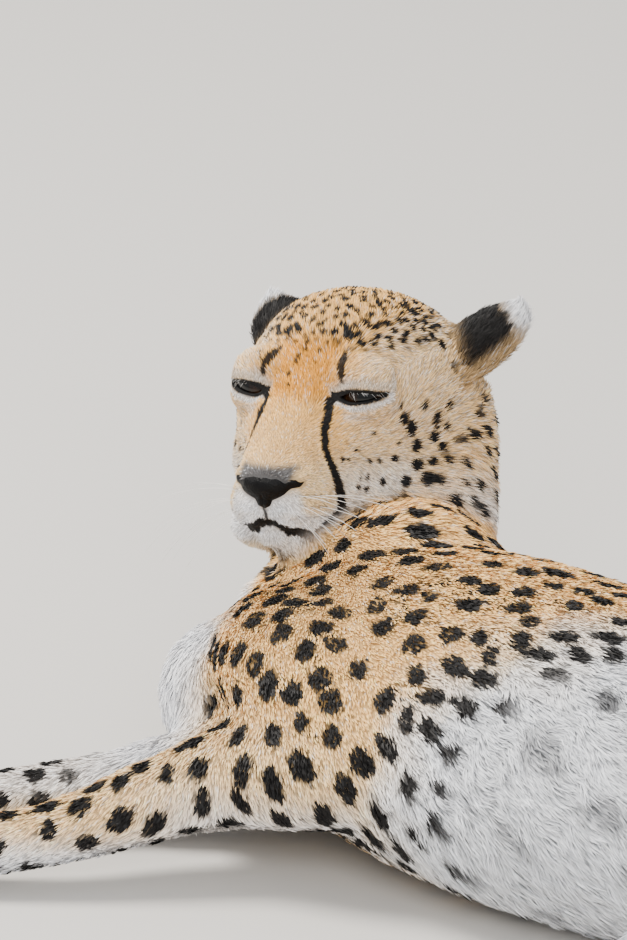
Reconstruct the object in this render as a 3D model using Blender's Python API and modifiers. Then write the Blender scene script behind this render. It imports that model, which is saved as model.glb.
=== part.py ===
"""A cheetah lying on its right side with its head raised, as a life-size museum model.

Metres, +Z up. +X runs forward along the trunk and +Y is the side that the belly and the legs point to.
The trunk, neck, shoulders and haunches are lofts through a few measured sections, fused into one body and
then divided by regions shaped like the muscles. The head is fused from its own forms round the eyes. The
lower legs and the tail are lofts of their own, trimmed where they meet the body. Every piece that would
sink into the floor is cut level with it, which leaves the small flats that the model rests on.
"""

import math

import bmesh
import bpy
from mathutils import Matrix, Vector

# ---------------------------------------------------------------- driving dimensions (metres, degrees)
GAP = 0.0004  # clear space between two pieces that meet
FLOOR = 0.0  # the level that the animal lies on

EYE_MIDDLE = Vector((0.1015, -0.1046, 0.2181))  # halfway between the two eyeballs
HEAD_TURN = 103.7  # from the trunk's forward direction towards the belly side
HEAD_LIFT = 7.0  # nose up
HEAD_TILT = 3.4  # left cheek up
EYE_RADIUS = 0.0165
EYE_FORWARD, EYE_APART, EYE_UP = 0.006, 0.033, 0.001
EYE_LOOKS_OUT = 27.0  # each eye's own axis, away from the head's
LID_THICKNESS = 0.0022
SLIT_LENGTH, SLIT_HEIGHT = 0.034, 0.0085

BODY_VOXEL, HEAD_VOXEL, PAW_VOXEL = 0.005, 0.003, 0.0026
BODY_TRIANGLES, HEAD_TRIANGLES, PAW_TRIANGLES = 2250, 1280, 205


# ---------------------------------------------------------------- scene and materials
def clear_scene():
    for obj in list(bpy.data.objects):
        bpy.data.objects.remove(obj, do_unlink=True)


def make_collection(name, shown):
    collection = bpy.data.collections.new(name)
    bpy.context.scene.collection.children.link(collection)
    collection.hide_render = not shown
    return collection


def make_material(name, colour, roughness):
    material = bpy.data.materials.new(name)
    material.use_nodes = True
    shader = material.node_tree.nodes["Principled BSDF"]
    shader.inputs["Base Color"].default_value = (*colour, 1.0)
    shader.inputs["Roughness"].default_value = roughness
    shader.inputs["Metallic"].default_value = 0.0
    return material


clear_scene()
CHEETAH = make_collection("cheetah", True)
HELPERS = make_collection("helpers", False)
TAWNY = make_material("tawny coat", (0.62, 0.42, 0.22), 0.9)
CREAM = make_material("cream coat", (0.78, 0.68, 0.54), 0.9)
EAR_FUR = make_material("ear fur", (0.12, 0.10, 0.09), 0.95)
TAIL_FUR = make_material("tail fur", (0.55, 0.42, 0.28), 0.9)
NOSE_SKIN = make_material("nose skin", (0.03, 0.028, 0.03), 0.45)
EYE_GLOSS = make_material("eye", (0.10, 0.055, 0.02), 0.1)


# ---------------------------------------------------------------- modelling helpers
def add_object(name, mesh, material=None, collection=None):
    obj = bpy.data.objects.new(name, mesh)
    (collection or HELPERS).objects.link(obj)
    if collection is None:
        obj.hide_render = True
        obj.display_type = "WIRE"
    if material:
        obj.data.materials.clear()
        obj.data.materials.append(material)
    return obj


def mesh_from(bm, name):
    bmesh.ops.recalc_face_normals(bm, faces=bm.faces)
    mesh = bpy.data.meshes.new(name)
    bm.to_mesh(mesh)
    bm.free()
    return mesh


def through(stations, count):
    """Rows of numbers on a smooth Catmull-Rom curve through the stations."""
    rows = [list(stations[0]), *map(list, stations), list(stations[-1])]
    made = []
    for i in range(count):
        place = i / (count - 1) * (len(stations) - 1)
        k = min(int(place), len(stations) - 2)
        t = place - k
        row = []
        for a, b, c, d in zip(*rows[k : k + 4]):
            bend = 2 * a - 5 * b + 4 * c - d
            twist = 3 * b - a - 3 * c + d
            row.append(0.5 * (2 * b + (c - a) * t + bend * t**2 + twist * t**3))
        made.append(row)
    return made


def loft(name, stations, up, rings, around, cap=0.7):
    """A rounded tube through stations of (x, y, z, half width, half height).

    up is the way the heights are measured, and cap is the length of the round ends in half sizes.
    """
    rows = through(stations, rings)
    centres = [Vector(row[:3]) for row in rows]
    up = Vector(up).normalized()
    bm = bmesh.new()

    def ring(centre, along, width, height):
        upright = (up - along * up.dot(along)).normalized()
        across = along.cross(upright)
        points = []
        for i in range(around):
            turn = 2 * math.pi * i / around
            offset = across * width * math.cos(turn) + upright * height * math.sin(turn)
            points.append(bm.verts.new(centre + offset))
        return points

    loops = []
    for i, row in enumerate(rows):
        along = (centres[min(i + 1, rings - 1)] - centres[max(i - 1, 0)]).normalized()
        loops.append((centres[i], along, row[3], row[4]))
    ends = []
    for sign, (centre, along, width, height) in ((-1, loops[0]), (1, loops[-1])):
        reach = sign * cap * min(width, height)
        rounded = []
        for angle in (30, 60, 80):
            share = math.cos(math.radians(angle))
            step = along * reach * math.sin(math.radians(angle))
            rounded.append((centre + step, along, width * share, height * share))
        ends.append(rounded)
    made = [ring(*loop) for loop in [*reversed(ends[0]), *loops, *ends[1]]]
    for near, far in zip(made, made[1:]):
        for i in range(around):
            j = (i + 1) % around
            bm.faces.new((near[i], near[j], far[j], far[i]))
    bm.faces.new(made[0])
    bm.faces.new(made[-1])
    return add_object(name, mesh_from(bm, name))


def ball(name, centre, sizes, turn=None, segments=24, rings=14):
    """An ellipsoid with these half sizes along the axes of the rotation turn."""
    bm = bmesh.new()
    bmesh.ops.create_uvsphere(bm, u_segments=segments, v_segments=rings, radius=1.0)
    place = Matrix.Translation(centre) @ (turn or Matrix.Identity(4)) @ Matrix.Diagonal((*sizes, 1.0))
    bmesh.ops.transform(bm, matrix=place, verts=bm.verts)
    return add_object(name, mesh_from(bm, name))


def apply_modifiers(obj):
    graph = bpy.context.evaluated_depsgraph_get()
    graph.update()
    mesh = bpy.data.meshes.new_from_object(obj.evaluated_get(graph))
    obj.modifiers.clear()
    obj.data = mesh
    return obj


def fuse(name, parts, voxel, smoothing, triangles):
    """One smooth closed body from overlapping forms, with about this many triangles."""
    joined = bmesh.new()
    for part in parts:
        joined.from_mesh(part.data)
        bpy.data.objects.remove(part)
    mesh = bpy.data.meshes.new(name)
    joined.to_mesh(mesh)
    joined.free()
    body = add_object(name, mesh)
    remesh = body.modifiers.new("one surface", "REMESH")
    remesh.mode = "VOXEL"
    remesh.voxel_size = voxel
    smooth = body.modifiers.new("soft creases", "SMOOTH")
    smooth.factor = 0.5
    smooth.iterations = smoothing
    apply_modifiers(body)
    thin = body.modifiers.new("fewer faces", "DECIMATE")
    thin.ratio = min(1.0, triangles / sum(len(face.vertices) - 2 for face in body.data.polygons))
    return apply_modifiers(body)


def simpler(obj, triangles):
    """A copy with about this many triangles, to cut a large neighbour with."""
    copy = add_object(obj.name + " simpler", obj.data.copy())
    thin = copy.modifiers.new("fewer faces", "DECIMATE")
    thin.ratio = triangles / sum(len(face.vertices) - 2 for face in obj.data.polygons)
    return apply_modifiers(copy)


def grown(obj, by=GAP):
    """A copy whose surface lies this far outside the original, to cut with."""
    copy = add_object(obj.name + " grown", obj.data.copy())
    swell = copy.modifiers.new("swell", "DISPLACE")
    swell.strength = by
    swell.mid_level = 0.0
    return apply_modifiers(copy)


def combine(obj, operation, others, solver="EXACT"):
    for other in others:
        step = obj.modifiers.new(operation.lower(), "BOOLEAN")
        step.operation = operation
        step.solver = solver
        step.object = other
    return apply_modifiers(obj)


def bodies_in(bm):
    """The sets of vertices that are joined to each other by edges."""
    left = set(bm.verts)
    bodies = []
    while left:
        todo = [left.pop()]
        found = set(todo)
        while todo:
            for edge in todo.pop().link_edges:
                for vert in edge.verts:
                    if vert in left:
                        left.discard(vert)
                        found.add(vert)
                        todo.append(vert)
        bodies.append(found)
    return bodies


def largest_piece(obj):
    """Drops the crumbs that a cut can leave beside the main piece."""
    bm = bmesh.new()
    bm.from_mesh(obj.data)
    keep = max(bodies_in(bm), key=len)
    bmesh.ops.delete(bm, geom=[v for v in bm.verts if v not in keep], context="VERTS")
    bm.to_mesh(obj.data)
    bm.free()
    return obj


def claim(name, body, region):
    """Takes what lies inside region out of body as a piece of its own, with GAP between them."""
    taken = add_object(name, body.data.copy())
    combine(taken, "INTERSECT", [region], solver="MANIFOLD")
    combine(body, "DIFFERENCE", [grown(region, 3 * GAP)], solver="MANIFOLD")
    largest_piece(body)
    return largest_piece(taken)


def level_with_floor(obj):
    """Cuts off what is below the floor and closes the cut with a flat face."""
    bm = bmesh.new()
    bm.from_mesh(obj.data)
    everything = [*bm.verts, *bm.edges, *bm.faces]
    cut = bmesh.ops.bisect_plane(
        bm, geom=everything, dist=1e-6, plane_co=(0, 0, FLOOR), plane_no=(0, 0, 1), clear_inner=True
    )
    edges = [item for item in cut["geom_cut"] if isinstance(item, bmesh.types.BMEdge)]
    if edges:
        bmesh.ops.holes_fill(bm, edges=edges)
        bmesh.ops.triangulate(bm, faces=bm.faces)
    bmesh.ops.recalc_face_normals(bm, faces=bm.faces)
    bm.to_mesh(obj.data)
    bm.free()
    return obj


def finish_piece(obj, material):
    """Moves a finished piece into the shown collection with its material."""
    bmesh_copy = bmesh.new()
    bmesh_copy.from_mesh(obj.data)
    bmesh.ops.remove_doubles(bmesh_copy, verts=bmesh_copy.verts, dist=1e-5)
    bmesh_copy.to_mesh(obj.data)
    bmesh_copy.free()
    HELPERS.objects.unlink(obj)
    CHEETAH.objects.link(obj)
    obj.hide_render = False
    obj.display_type = "TEXTURED"
    obj.data.materials.clear()
    obj.data.materials.append(material)
    obj.data.shade_smooth()
    obj.data.set_sharp_from_angle(angle=math.radians(50))
    return obj


# ---------------------------------------------------------------- the body: trunk, neck, shoulders, haunches
UPWARD = (0.0, 0.0, 1.0)
LEFT_FLANK = (0.0, 0.17, 0.985)  # the way the left flank faces, as the animal lies on its right side

TRUNK = [
    (-0.700, -0.070, 0.066, 0.044, 0.046),
    (-0.650, -0.045, 0.078, 0.082, 0.076),
    (-0.560, -0.024, 0.082, 0.100, 0.086),
    (-0.460, -0.010, 0.074, 0.082, 0.078),
    (-0.370, -0.006, 0.073, 0.087, 0.077),
    (-0.290, 0.001, 0.079, 0.106, 0.085),
    (-0.200, 0.002, 0.084, 0.121, 0.090),
    (-0.110, -0.006, 0.086, 0.122, 0.090),
    (-0.048, -0.021, 0.085, 0.113, 0.087),
    (0.004, -0.044, 0.082, 0.096, 0.080),
    (0.056, -0.062, 0.080, 0.072, 0.064),
    (0.092, -0.060, 0.078, 0.048, 0.046),
]
NECK = [
    (0.030, -0.076, 0.085, 0.070, 0.070),
    (0.056, -0.110, 0.112, 0.056, 0.070),
    (0.081, -0.150, 0.150, 0.054, 0.067),
    (0.102, -0.181, 0.182, 0.056, 0.063),
    (0.114, -0.196, 0.198, 0.050, 0.052),
]
LEFT_SHOULDER_BLADE = [
    (-0.052, -0.098, 0.110, 0.036, 0.022),
    (-0.002, -0.072, 0.143, 0.056, 0.036),
    (0.038, -0.052, 0.124, 0.050, 0.034),
    (0.060, -0.034, 0.101, 0.044, 0.038),
]
LEFT_FORELEG = [
    (0.064, -0.024, 0.086, 0.040, 0.037),
    (0.034, 0.008, 0.099, 0.053, 0.043),
    (-0.018, 0.042, 0.108, 0.063, 0.046),
    (-0.062, 0.070, 0.098, 0.054, 0.042),
    (-0.082, 0.088, 0.082, 0.034, 0.036),
    (-0.044, 0.098, 0.070, 0.036, 0.037),
    (-0.002, 0.108, 0.061, 0.035, 0.034),
    (0.030, 0.142, 0.049, 0.029, 0.027),
    (0.066, 0.186, 0.034, 0.022, 0.021),
    (0.106, 0.219, 0.025, 0.020, 0.021),
    (0.130, 0.236, 0.022, 0.020, 0.022),
]
RIGHT_FORELEG = [
    (0.070, -0.050, 0.060, 0.045, 0.040),
    (0.040, 0.000, 0.052, 0.050, 0.042),
    (0.020, 0.040, 0.046, 0.042, 0.040),
    (0.058, 0.068, 0.036, 0.032, 0.031),
    (0.096, 0.100, 0.0265, 0.025, 0.025),
    (0.142, 0.148, 0.0230, 0.021, 0.021),
    (0.166, 0.170, 0.0225, 0.020, 0.021),
    (0.188, 0.187, 0.022, 0.020, 0.022),
]
LEFT_HIND_LEG = [
    (-0.600, -0.030, 0.116, 0.070, 0.044),
    (-0.540, 0.030, 0.118, 0.090, 0.048),
    (-0.470, 0.090, 0.110, 0.075, 0.046),
    (-0.440, 0.138, 0.108, 0.050, 0.042),
    (-0.470, 0.200, 0.098, 0.043, 0.034),
    (-0.525, 0.275, 0.077, 0.032, 0.026),
    (-0.570, 0.335, 0.057, 0.025, 0.022),
    (-0.566, 0.385, 0.044, 0.024, 0.020),
    (-0.535, 0.435, 0.030, 0.022, 0.019),
    (-0.512, 0.480, 0.021, 0.022, 0.019),
]
RIGHT_HIND_LEG = [
    (-0.600, -0.010, 0.056, 0.070, 0.050),
    (-0.530, 0.040, 0.052, 0.085, 0.050),
    (-0.440, 0.090, 0.046, 0.066, 0.047),
    (-0.364, 0.140, 0.040, 0.046, 0.042),
    (-0.372, 0.200, 0.036, 0.040, 0.035),
    (-0.425, 0.275, 0.032, 0.031, 0.029),
    (-0.462, 0.345, 0.027, 0.025, 0.024),
    (-0.452, 0.390, 0.024, 0.023, 0.021),
    (-0.420, 0.432, 0.021, 0.022, 0.019),
    (-0.388, 0.472, 0.019, 0.022, 0.019),
]
TAIL = [
    (-0.640, -0.055, 0.075, 0.044, 0.044),
    (-0.720, -0.080, 0.048, 0.030, 0.030),
    (-0.800, -0.092, 0.028, 0.025, 0.025),
    (-0.900, -0.080, 0.0205, 0.022, 0.022),
    (-0.990, -0.020, 0.0195, 0.021, 0.021),
    (-1.045, 0.070, 0.0195, 0.021, 0.021),
    (-1.062, 0.170, 0.0205, 0.022, 0.022),
    (-1.040, 0.260, 0.0190, 0.020, 0.020),
]


def make_body():
    forms = [
        loft("trunk form", TRUNK, LEFT_FLANK, 40, 32),
        loft("neck form", NECK, (0.88, 0.47, 0.0), 16, 26),
        loft("shoulder blade form", LEFT_SHOULDER_BLADE, UPWARD, 14, 22),
        loft("left foreleg form", LEFT_FORELEG, UPWARD, 44, 22),
        loft("right foreleg form", RIGHT_FORELEG, UPWARD, 34, 20),
        loft("left hind leg form", LEFT_HIND_LEG, UPWARD, 44, 22),
        loft("right hind leg form", RIGHT_HIND_LEG, UPWARD, 44, 20),
        loft("tail form", TAIL, UPWARD, 48, 14),
        ball("breast form", Vector((0.079, 0.008, 0.066)), (0.042, 0.050, 0.048)),
        ball("upper arm muscle form", Vector((-0.012, -0.012, 0.120)), (0.066, 0.066, 0.038)),
        ball("rump form", Vector((-0.640, -0.036, 0.082)), (0.062, 0.084, 0.074)),
    ]
    return fuse("trunk", forms, BODY_VOXEL, 8, BODY_TRIANGLES)


# ---------------------------------------------------------------- the head
def head_frame():
    """Head axes: +X to the nose, +Y to the left ear, +Z to the crown, from between the eyes."""
    turn = Matrix.Rotation(math.radians(HEAD_TURN), 4, "Z")
    lift = Matrix.Rotation(math.radians(-HEAD_LIFT), 4, "Y")
    tilt = Matrix.Rotation(math.radians(HEAD_TILT), 4, "X")
    return Matrix.Translation(EYE_MIDDLE) @ turn @ lift @ tilt


HEAD = head_frame()


def head_section_loft(name, sections, around=32):
    """A loft along the head's own X axis through (x, top, bottom, half width, height of the widest line)."""
    rows = through(sections, 34)
    bm = bmesh.new()
    made = []
    for x, top, bottom, wide, waist in rows:
        points = []
        for i in range(around):
            turn = 2 * math.pi * i / around
            u, v = math.sin(turn), math.cos(turn)
            reach = (top - waist) if v > 0 else (waist - bottom)
            y = wide * math.copysign(abs(u) ** 0.92, u)
            points.append(bm.verts.new((x, y, waist + reach * v)))
        made.append(points)
    for near, far in zip(made, made[1:]):
        for i in range(around):
            j = (i + 1) % around
            bm.faces.new((near[i], near[j], far[j], far[i]))
    bm.faces.new(made[0])
    bm.faces.new(made[-1])
    return add_object(name, mesh_from(bm, name))


def make_skull_form():
    sections = [
        (-0.116, 0.022, -0.060, 0.048, -0.016),
        (-0.102, 0.037, -0.080, 0.062, -0.016),
        (-0.076, 0.048, -0.090, 0.070, -0.018),
        (-0.045, 0.051, -0.096, 0.070, -0.024),
        (-0.015, 0.045, -0.096, 0.062, -0.030),
        (0.006, 0.033, -0.095, 0.050, -0.034),
        (0.024, 0.014, -0.090, 0.040, -0.040),
        (0.040, -0.001, -0.086, 0.0325, -0.048),
        (0.056, -0.014, -0.080, 0.0285, -0.052),
        (0.069, -0.024, -0.073, 0.0245, -0.052),
        (0.078, -0.032, -0.064, 0.0185, -0.050),
    ]
    return head_section_loft("skull form", sections)


def mirrored_balls(name, centre, sizes, turn=None):
    pair = []
    for side in (1, -1):
        place = Vector((centre[0], side * centre[1], centre[2]))
        spin = Matrix.Rotation(math.radians(side * turn), 4, "Z") if turn else None
        pair.append(ball(f"{name} {side}", place, sizes, spin))
    return pair


def make_head_forms():
    """The forms that a hand would block a cheetah's head out of, in the head's own frame."""
    forms = [make_skull_form()]
    forms += mirrored_balls("whisker pad form", (0.056, 0.0145, -0.058), (0.026, 0.0165, 0.020), turn=-12)
    forms += mirrored_balls("cheek form", (-0.026, 0.037, -0.046), (0.044, 0.026, 0.040))
    forms += mirrored_balls("brow form", (0.006, 0.030, 0.012), (0.019, 0.020, 0.013), turn=25)
    forms += mirrored_balls("jaw form", (-0.022, 0.025, -0.083), (0.056, 0.028, 0.021), turn=12)
    forms.append(ball("chin form", Vector((0.049, 0.0, -0.081)), (0.021, 0.019, 0.013)))
    forms.append(ball("bridge form", Vector((0.050, 0.0, -0.024)), (0.035, 0.016, 0.012), pitch_by(33)))
    return forms


def pitch_by(degrees):
    return Matrix.Rotation(math.radians(degrees), 4, "Y")


def eye_frame(side):
    """The left (1) or right (-1) eye's axes in the head's frame: +X is where it looks."""
    place = Matrix.Translation((EYE_FORWARD, side * EYE_APART, EYE_UP))
    return place @ Matrix.Rotation(math.radians(side * EYE_LOOKS_OUT), 4, "Z")


def make_slit_cutter(side):
    """A prism with an almond outline, narrowest at its two ends, that opens the lids."""
    bm = bmesh.new()
    steps = 8
    outline = []
    for i in range(2 * steps):
        turn = math.pi * i / steps
        outline.append((SLIT_LENGTH / 2 * math.cos(turn), SLIT_HEIGHT / 2 * math.sin(turn)))
    near = [bm.verts.new((EYE_RADIUS * 0.4, y, z)) for y, z in outline]
    far = [bm.verts.new((EYE_RADIUS * 2.2, y, z)) for y, z in outline]
    count = len(outline)
    for i in range(count):
        j = (i + 1) % count
        bm.faces.new((near[i], near[j], far[j], far[i]))
    bm.faces.new(near)
    bm.faces.new(far)
    slant = Matrix.Rotation(math.radians(side * 8), 4, "X")
    bmesh.ops.transform(bm, matrix=HEAD @ eye_frame(side) @ slant, verts=bm.verts)
    return add_object(f"slit {side}", mesh_from(bm, "slit"))


def make_eye(side):
    name = "eye_left" if side > 0 else "eye_right"
    centre = HEAD @ eye_frame(side) @ Vector((0, 0, 0))
    return ball(name, centre, (EYE_RADIUS,) * 3, segments=14, rings=8)


def make_lid_ball(side):
    centre = eye_frame(side) @ Vector((0, 0, 0))
    return ball(f"lid form {side}", centre, (EYE_RADIUS + LID_THICKNESS,) * 3)


def make_nose():
    """The bare leather of the nose, a soft wedge between the whisker pads."""
    pad = ball("nose form", Vector((0.074, 0.0, -0.042)), (0.011, 0.018, 0.012))
    wings = [
        ball(f"nose wing form {side}", Vector((0.069, side * 0.0145, -0.040)), (0.009, 0.009, 0.007))
        for side in (1, -1)
    ]
    foot = ball("nose foot form", Vector((0.0755, 0.0, -0.054)), (0.0065, 0.0065, 0.007))
    nose = fuse("nose", [pad, *wings, foot], 0.0015, 4, 240)
    nose.data.transform(HEAD)
    return nose


def make_head(eyes, nose):
    lids = [make_lid_ball(side) for side in (1, -1)]
    head = fuse("head", make_head_forms() + lids, HEAD_VOXEL, 5, HEAD_TRIANGLES)
    head.data.transform(HEAD)
    combine(head, "DIFFERENCE", [grown(nose), *(grown(eye) for eye in eyes)])
    combine(head, "DIFFERENCE", [make_slit_cutter(side) for side in (1, -1)])
    return largest_piece(head)


# ---------------------------------------------------------------- ears
EAR_LENGTH, EAR_WIDTH, EAR_WALL = 0.054, 0.050, 0.0036
# Each ear's root, the way it points and the way its dark back faces, in the head's frame.
EAR_PLACES = {
    "ear_left": ((-0.064, 0.054, 0.018), (-0.38, 0.78, 0.48), (0.65, -0.16, 0.73)),
    "ear_right": ((-0.066, -0.044, 0.022), (-0.72, -0.66, 0.20), (0.40, -0.05, 0.91)),
}


def make_ear(name):
    """A short round cup, laid out and back so that its dark outer face shows from the front."""
    root, points, faces = (Vector(row) for row in EAR_PLACES[name])
    bm = bmesh.new()
    rows, columns = 8, 9
    grid = []
    for i in range(rows):
        up = i / (rows - 1)
        half = EAR_WIDTH / 2 * math.sqrt(max(0.03, 1 - (max(0.0, up - 0.30) / 0.71) ** 2))
        line = []
        for j in range(columns):
            across = 2 * j / (columns - 1) - 1
            curl = 0.017 * across * across * (1 - 0.35 * up)
            line.append(bm.verts.new((curl, half * across, EAR_LENGTH * (up * 1.16 - 0.16))))
        grid.append(line)
    for low, high in zip(grid, grid[1:]):
        for j in range(columns - 1):
            bm.faces.new((low[j], low[j + 1], high[j + 1], high[j]))
    ear = add_object(name, mesh_from(bm, name))
    shell = ear.modifiers.new("ear wall", "SOLIDIFY")
    shell.thickness = EAR_WALL
    shell.offset = 0.0
    apply_modifiers(ear)
    up = points.normalized()
    opening = -(faces - up * faces.dot(up)).normalized()
    across = up.cross(opening)
    turn = Matrix((opening, across, up)).transposed().to_4x4()
    ear.data.transform(HEAD @ Matrix.Translation(root) @ turn)
    return ear


# ---------------------------------------------------------------- paws
def make_paw(name, stations, width, length):
    """A foot on the end of a leg: it follows on from the leg's last stations, with four toes."""
    ankle, start = Vector(stations[-2][:3]), Vector(stations[-1][:3])
    forward = start - ankle
    forward.z = 0.0
    forward.normalize()
    side = Vector((-forward.y, forward.x, 0.0))
    across, deep = stations[-1][3:]
    middle = start + forward * length * 0.42
    middle.z = 0.019
    front = start + forward * length * 0.66
    front.z = 0.0155
    sections = [
        (*ankle, *stations[-2][3:]),
        (*start, across, deep),
        (*middle, width * 0.44, 0.0195),
        (*front, width * 0.43, 0.0155),
    ]
    forms = [loft(name + " sole", sections, UPWARD, 14, 16)]
    heading = math.degrees(math.atan2(forward.y, forward.x))
    for place in (-1.5, -0.5, 0.5, 1.5):
        reach = length * (0.80 - 0.045 * abs(place) ** 1.5)
        knuckle = start + forward * reach + side * place * width * 0.235
        knuckle.z = 0.0138
        turn = Matrix.Rotation(math.radians(heading + place * 7), 4, "Z")
        forms.append(ball(f"{name} toe {place}", knuckle, (0.022, width * 0.142, 0.0152), turn, 16, 10))
    paw = fuse(name, forms, PAW_VOXEL, 2, PAW_TRIANGLES)
    keep_side(paw, start, (start - ankle).normalized())
    return level_with_floor(paw)


def keep_side(obj, point, normal):
    """Keeps what lies beyond a plane and closes the cut."""
    bm = bmesh.new()
    bm.from_mesh(obj.data)
    cut = bmesh.ops.bisect_plane(
        bm,
        geom=[*bm.verts, *bm.edges, *bm.faces],
        dist=1e-6,
        plane_co=Vector(point) + Vector(normal) * GAP / 2,
        plane_no=Vector(normal),
        clear_inner=True,
    )
    edges = [item for item in cut["geom_cut"] if isinstance(item, bmesh.types.BMEdge)]
    bmesh.ops.holes_fill(bm, edges=edges)
    bmesh.ops.triangulate(bm, faces=bm.faces)
    bmesh.ops.recalc_face_normals(bm, faces=bm.faces)
    bm.to_mesh(obj.data)
    bm.free()


def make_disc(name, centre, normal, radius, thickness, offset=0.0):
    """A round plate square to normal, from offset to offset + thickness along it."""
    bm = bmesh.new()
    bmesh.ops.create_cone(
        bm, cap_ends=True, segments=28, radius1=radius, radius2=radius, depth=thickness
    )
    normal = Vector(normal).normalized()
    turn = normal.to_track_quat("Z", "Y").to_matrix().to_4x4()
    middle = Vector(centre) + normal * (offset + thickness / 2)
    bmesh.ops.transform(bm, matrix=Matrix.Translation(middle) @ turn, verts=bm.verts)
    return add_object(name, mesh_from(bm, name))


def at_station(stations, index):
    """The place of a station and the way the limb runs there."""
    before = Vector(stations[max(index - 1, 0)][:3])
    after = Vector(stations[min(index + 1, len(stations) - 1)][:3])
    return Vector(stations[index][:3]), (after - before).normalized()


# ---------------------------------------------------------------- putting the animal together
PAWS = {
    "forepaw_left": (LEFT_FORELEG, 0.060, 0.098),
    "forepaw_right": (RIGHT_FORELEG, 0.060, 0.098),
    "hindpaw_left": (LEFT_HIND_LEG, 0.056, 0.100),
    "hindpaw_right": (RIGHT_HIND_LEG, 0.056, 0.100),
}
# Where a limb is cut across: the stations it runs through, which of them, the plate's radius.
CUTS = {
    "forearm_left": (LEFT_FORELEG, 7, 0.046),
    "forearm_right": (RIGHT_FORELEG, 4, 0.045),
    "shank_left": (LEFT_HIND_LEG, 4, 0.056),
    "shank_right": (RIGHT_HIND_LEG, 4, 0.056),
    "tail_tip": (TAIL, 6, 0.040),
    "tail": (TAIL, 1, 0.060),
}
NECK_BASE = (0.066, -0.130, 0.138)
NECK_AXIS = (0.30, -0.60, 0.74)
REGIONS = {
    "upper_arm_left": (LEFT_FORELEG[:5], 0.006),
    "thigh_left": (LEFT_HIND_LEG[:4], 0.007),
}


def loose_pieces(obj):
    """Splits an object into its separate bodies."""
    whole = bmesh.new()
    whole.from_mesh(obj.data)
    whole.verts.ensure_lookup_table()
    bodies = [{vert.index for vert in body} for body in bodies_in(whole)]
    whole.free()
    made = []
    for indices in bodies:
        part = bmesh.new()
        part.from_mesh(obj.data)
        part.verts.ensure_lookup_table()
        others = [vert for vert in part.verts if vert.index not in indices]
        bmesh.ops.delete(part, geom=others, context="VERTS")
        made.append(add_object("piece", mesh_from(part, "piece")))
    return made


def build_pieces():
    eyes = {"eye_left": make_eye(1), "eye_right": make_eye(-1)}
    nose = make_nose()
    head = make_head(list(eyes.values()), nose)
    pieces = {"head": head, "nose": nose, **eyes}
    for name in EAR_PLACES:
        ear = make_ear(name)
        combine(ear, "DIFFERENCE", [grown(simpler(head, 900), 0.001)])
        pieces[name] = largest_piece(ear)
    body = level_with_floor(make_body())
    ends = []
    for name, (stations, width, length) in PAWS.items():
        pieces[name] = make_paw(name, stations, width, length)
        ankle, start = Vector(stations[-2][:3]), Vector(stations[-1][:3])
        ends.append(make_disc(name + " end", start, start - ankle, 0.045, 0.08, -GAP / 2))
    ears = [grown(pieces[name], 0.001) for name in EAR_PLACES]
    combine(body, "DIFFERENCE", [grown(simpler(head, 1000), 0.0022), *ears, *ends])
    pieces["neck"] = claim("neck", body, make_disc("neck region", NECK_BASE, NECK_AXIS, 0.13, 0.25))
    for name, (stations, margin) in REGIONS.items():
        region = grown(loft(name + " region", stations, UPWARD, 16, 20), margin)
        pieces[name] = claim(name, body, fuse(name + " region", [region], 0.008, 8, 250))
    return pieces, body


def split_body(pieces, body):
    """Cuts each limb off with a thin plate, which leaves GAP between the two sides."""
    for name, (stations, index, radius) in CUTS.items():
        place, along = at_station(stations, index)
        goal = place + along * 0.045
        plate = make_disc(name + " cut", place, along, radius, GAP)
        combine(body, "DIFFERENCE", [plate], solver="MANIFOLD")
        parts = loose_pieces(body)
        parts.sort(key=lambda part: min((vert.co - goal).length for vert in part.data.vertices))
        pieces[name] = parts[0]
        body = max(parts[1:], key=lambda part: len(part.data.vertices))
    pieces["trunk"] = body


MATERIALS = {
    "nose": NOSE_SKIN,
    "eye_left": EYE_GLOSS,
    "eye_right": EYE_GLOSS,
    "ear_left": EAR_FUR,
    "ear_right": EAR_FUR,
    "trunk": CREAM,
    "tail": TAIL_FUR,
    "tail_tip": EAR_FUR,
}

def stand_over_origin(pieces):
    """Moves everything along the floor, so that the whole is centred over the origin."""
    corners = [vert.co for piece in pieces for vert in piece.data.vertices]
    middle_x = (min(co.x for co in corners) + max(co.x for co in corners)) / 2
    middle_y = (min(co.y for co in corners) + max(co.y for co in corners)) / 2
    lowest = min(co.z for co in corners)
    shift = Vector((-middle_x, -middle_y, FLOOR - lowest))
    for piece in pieces:
        piece.data.transform(Matrix.Translation(shift))
    return shift


PIECES, BODY = build_pieces()
BODY.name = "body"
split_body(PIECES, BODY)
for piece_name, piece in PIECES.items():
    piece.name = piece_name
    finish_piece(piece, MATERIALS.get(piece_name, TAWNY))
SHIFTED = stand_over_origin(list(PIECES.values()))
print("moved by", [round(value, 5) for value in SHIFTED])
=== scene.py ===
# %% [markdown]
# # A life-size cheetah at rest
#
# The animal lies on its right side with its head up and turned over its shoulder. Its solids are plain and smooth.
# Here one skin is drawn over all of them, the face is modelled in that skin, the markings are worked out as
# functions of place, and the coat is laid on as many small tufts of solid hair.

import heapq
import math

import bmesh
import bpy
import numpy as np
from mathutils import Matrix, Vector
from mathutils.bvhtree import BVHTree
from mathutils.kdtree import KDTree


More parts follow.
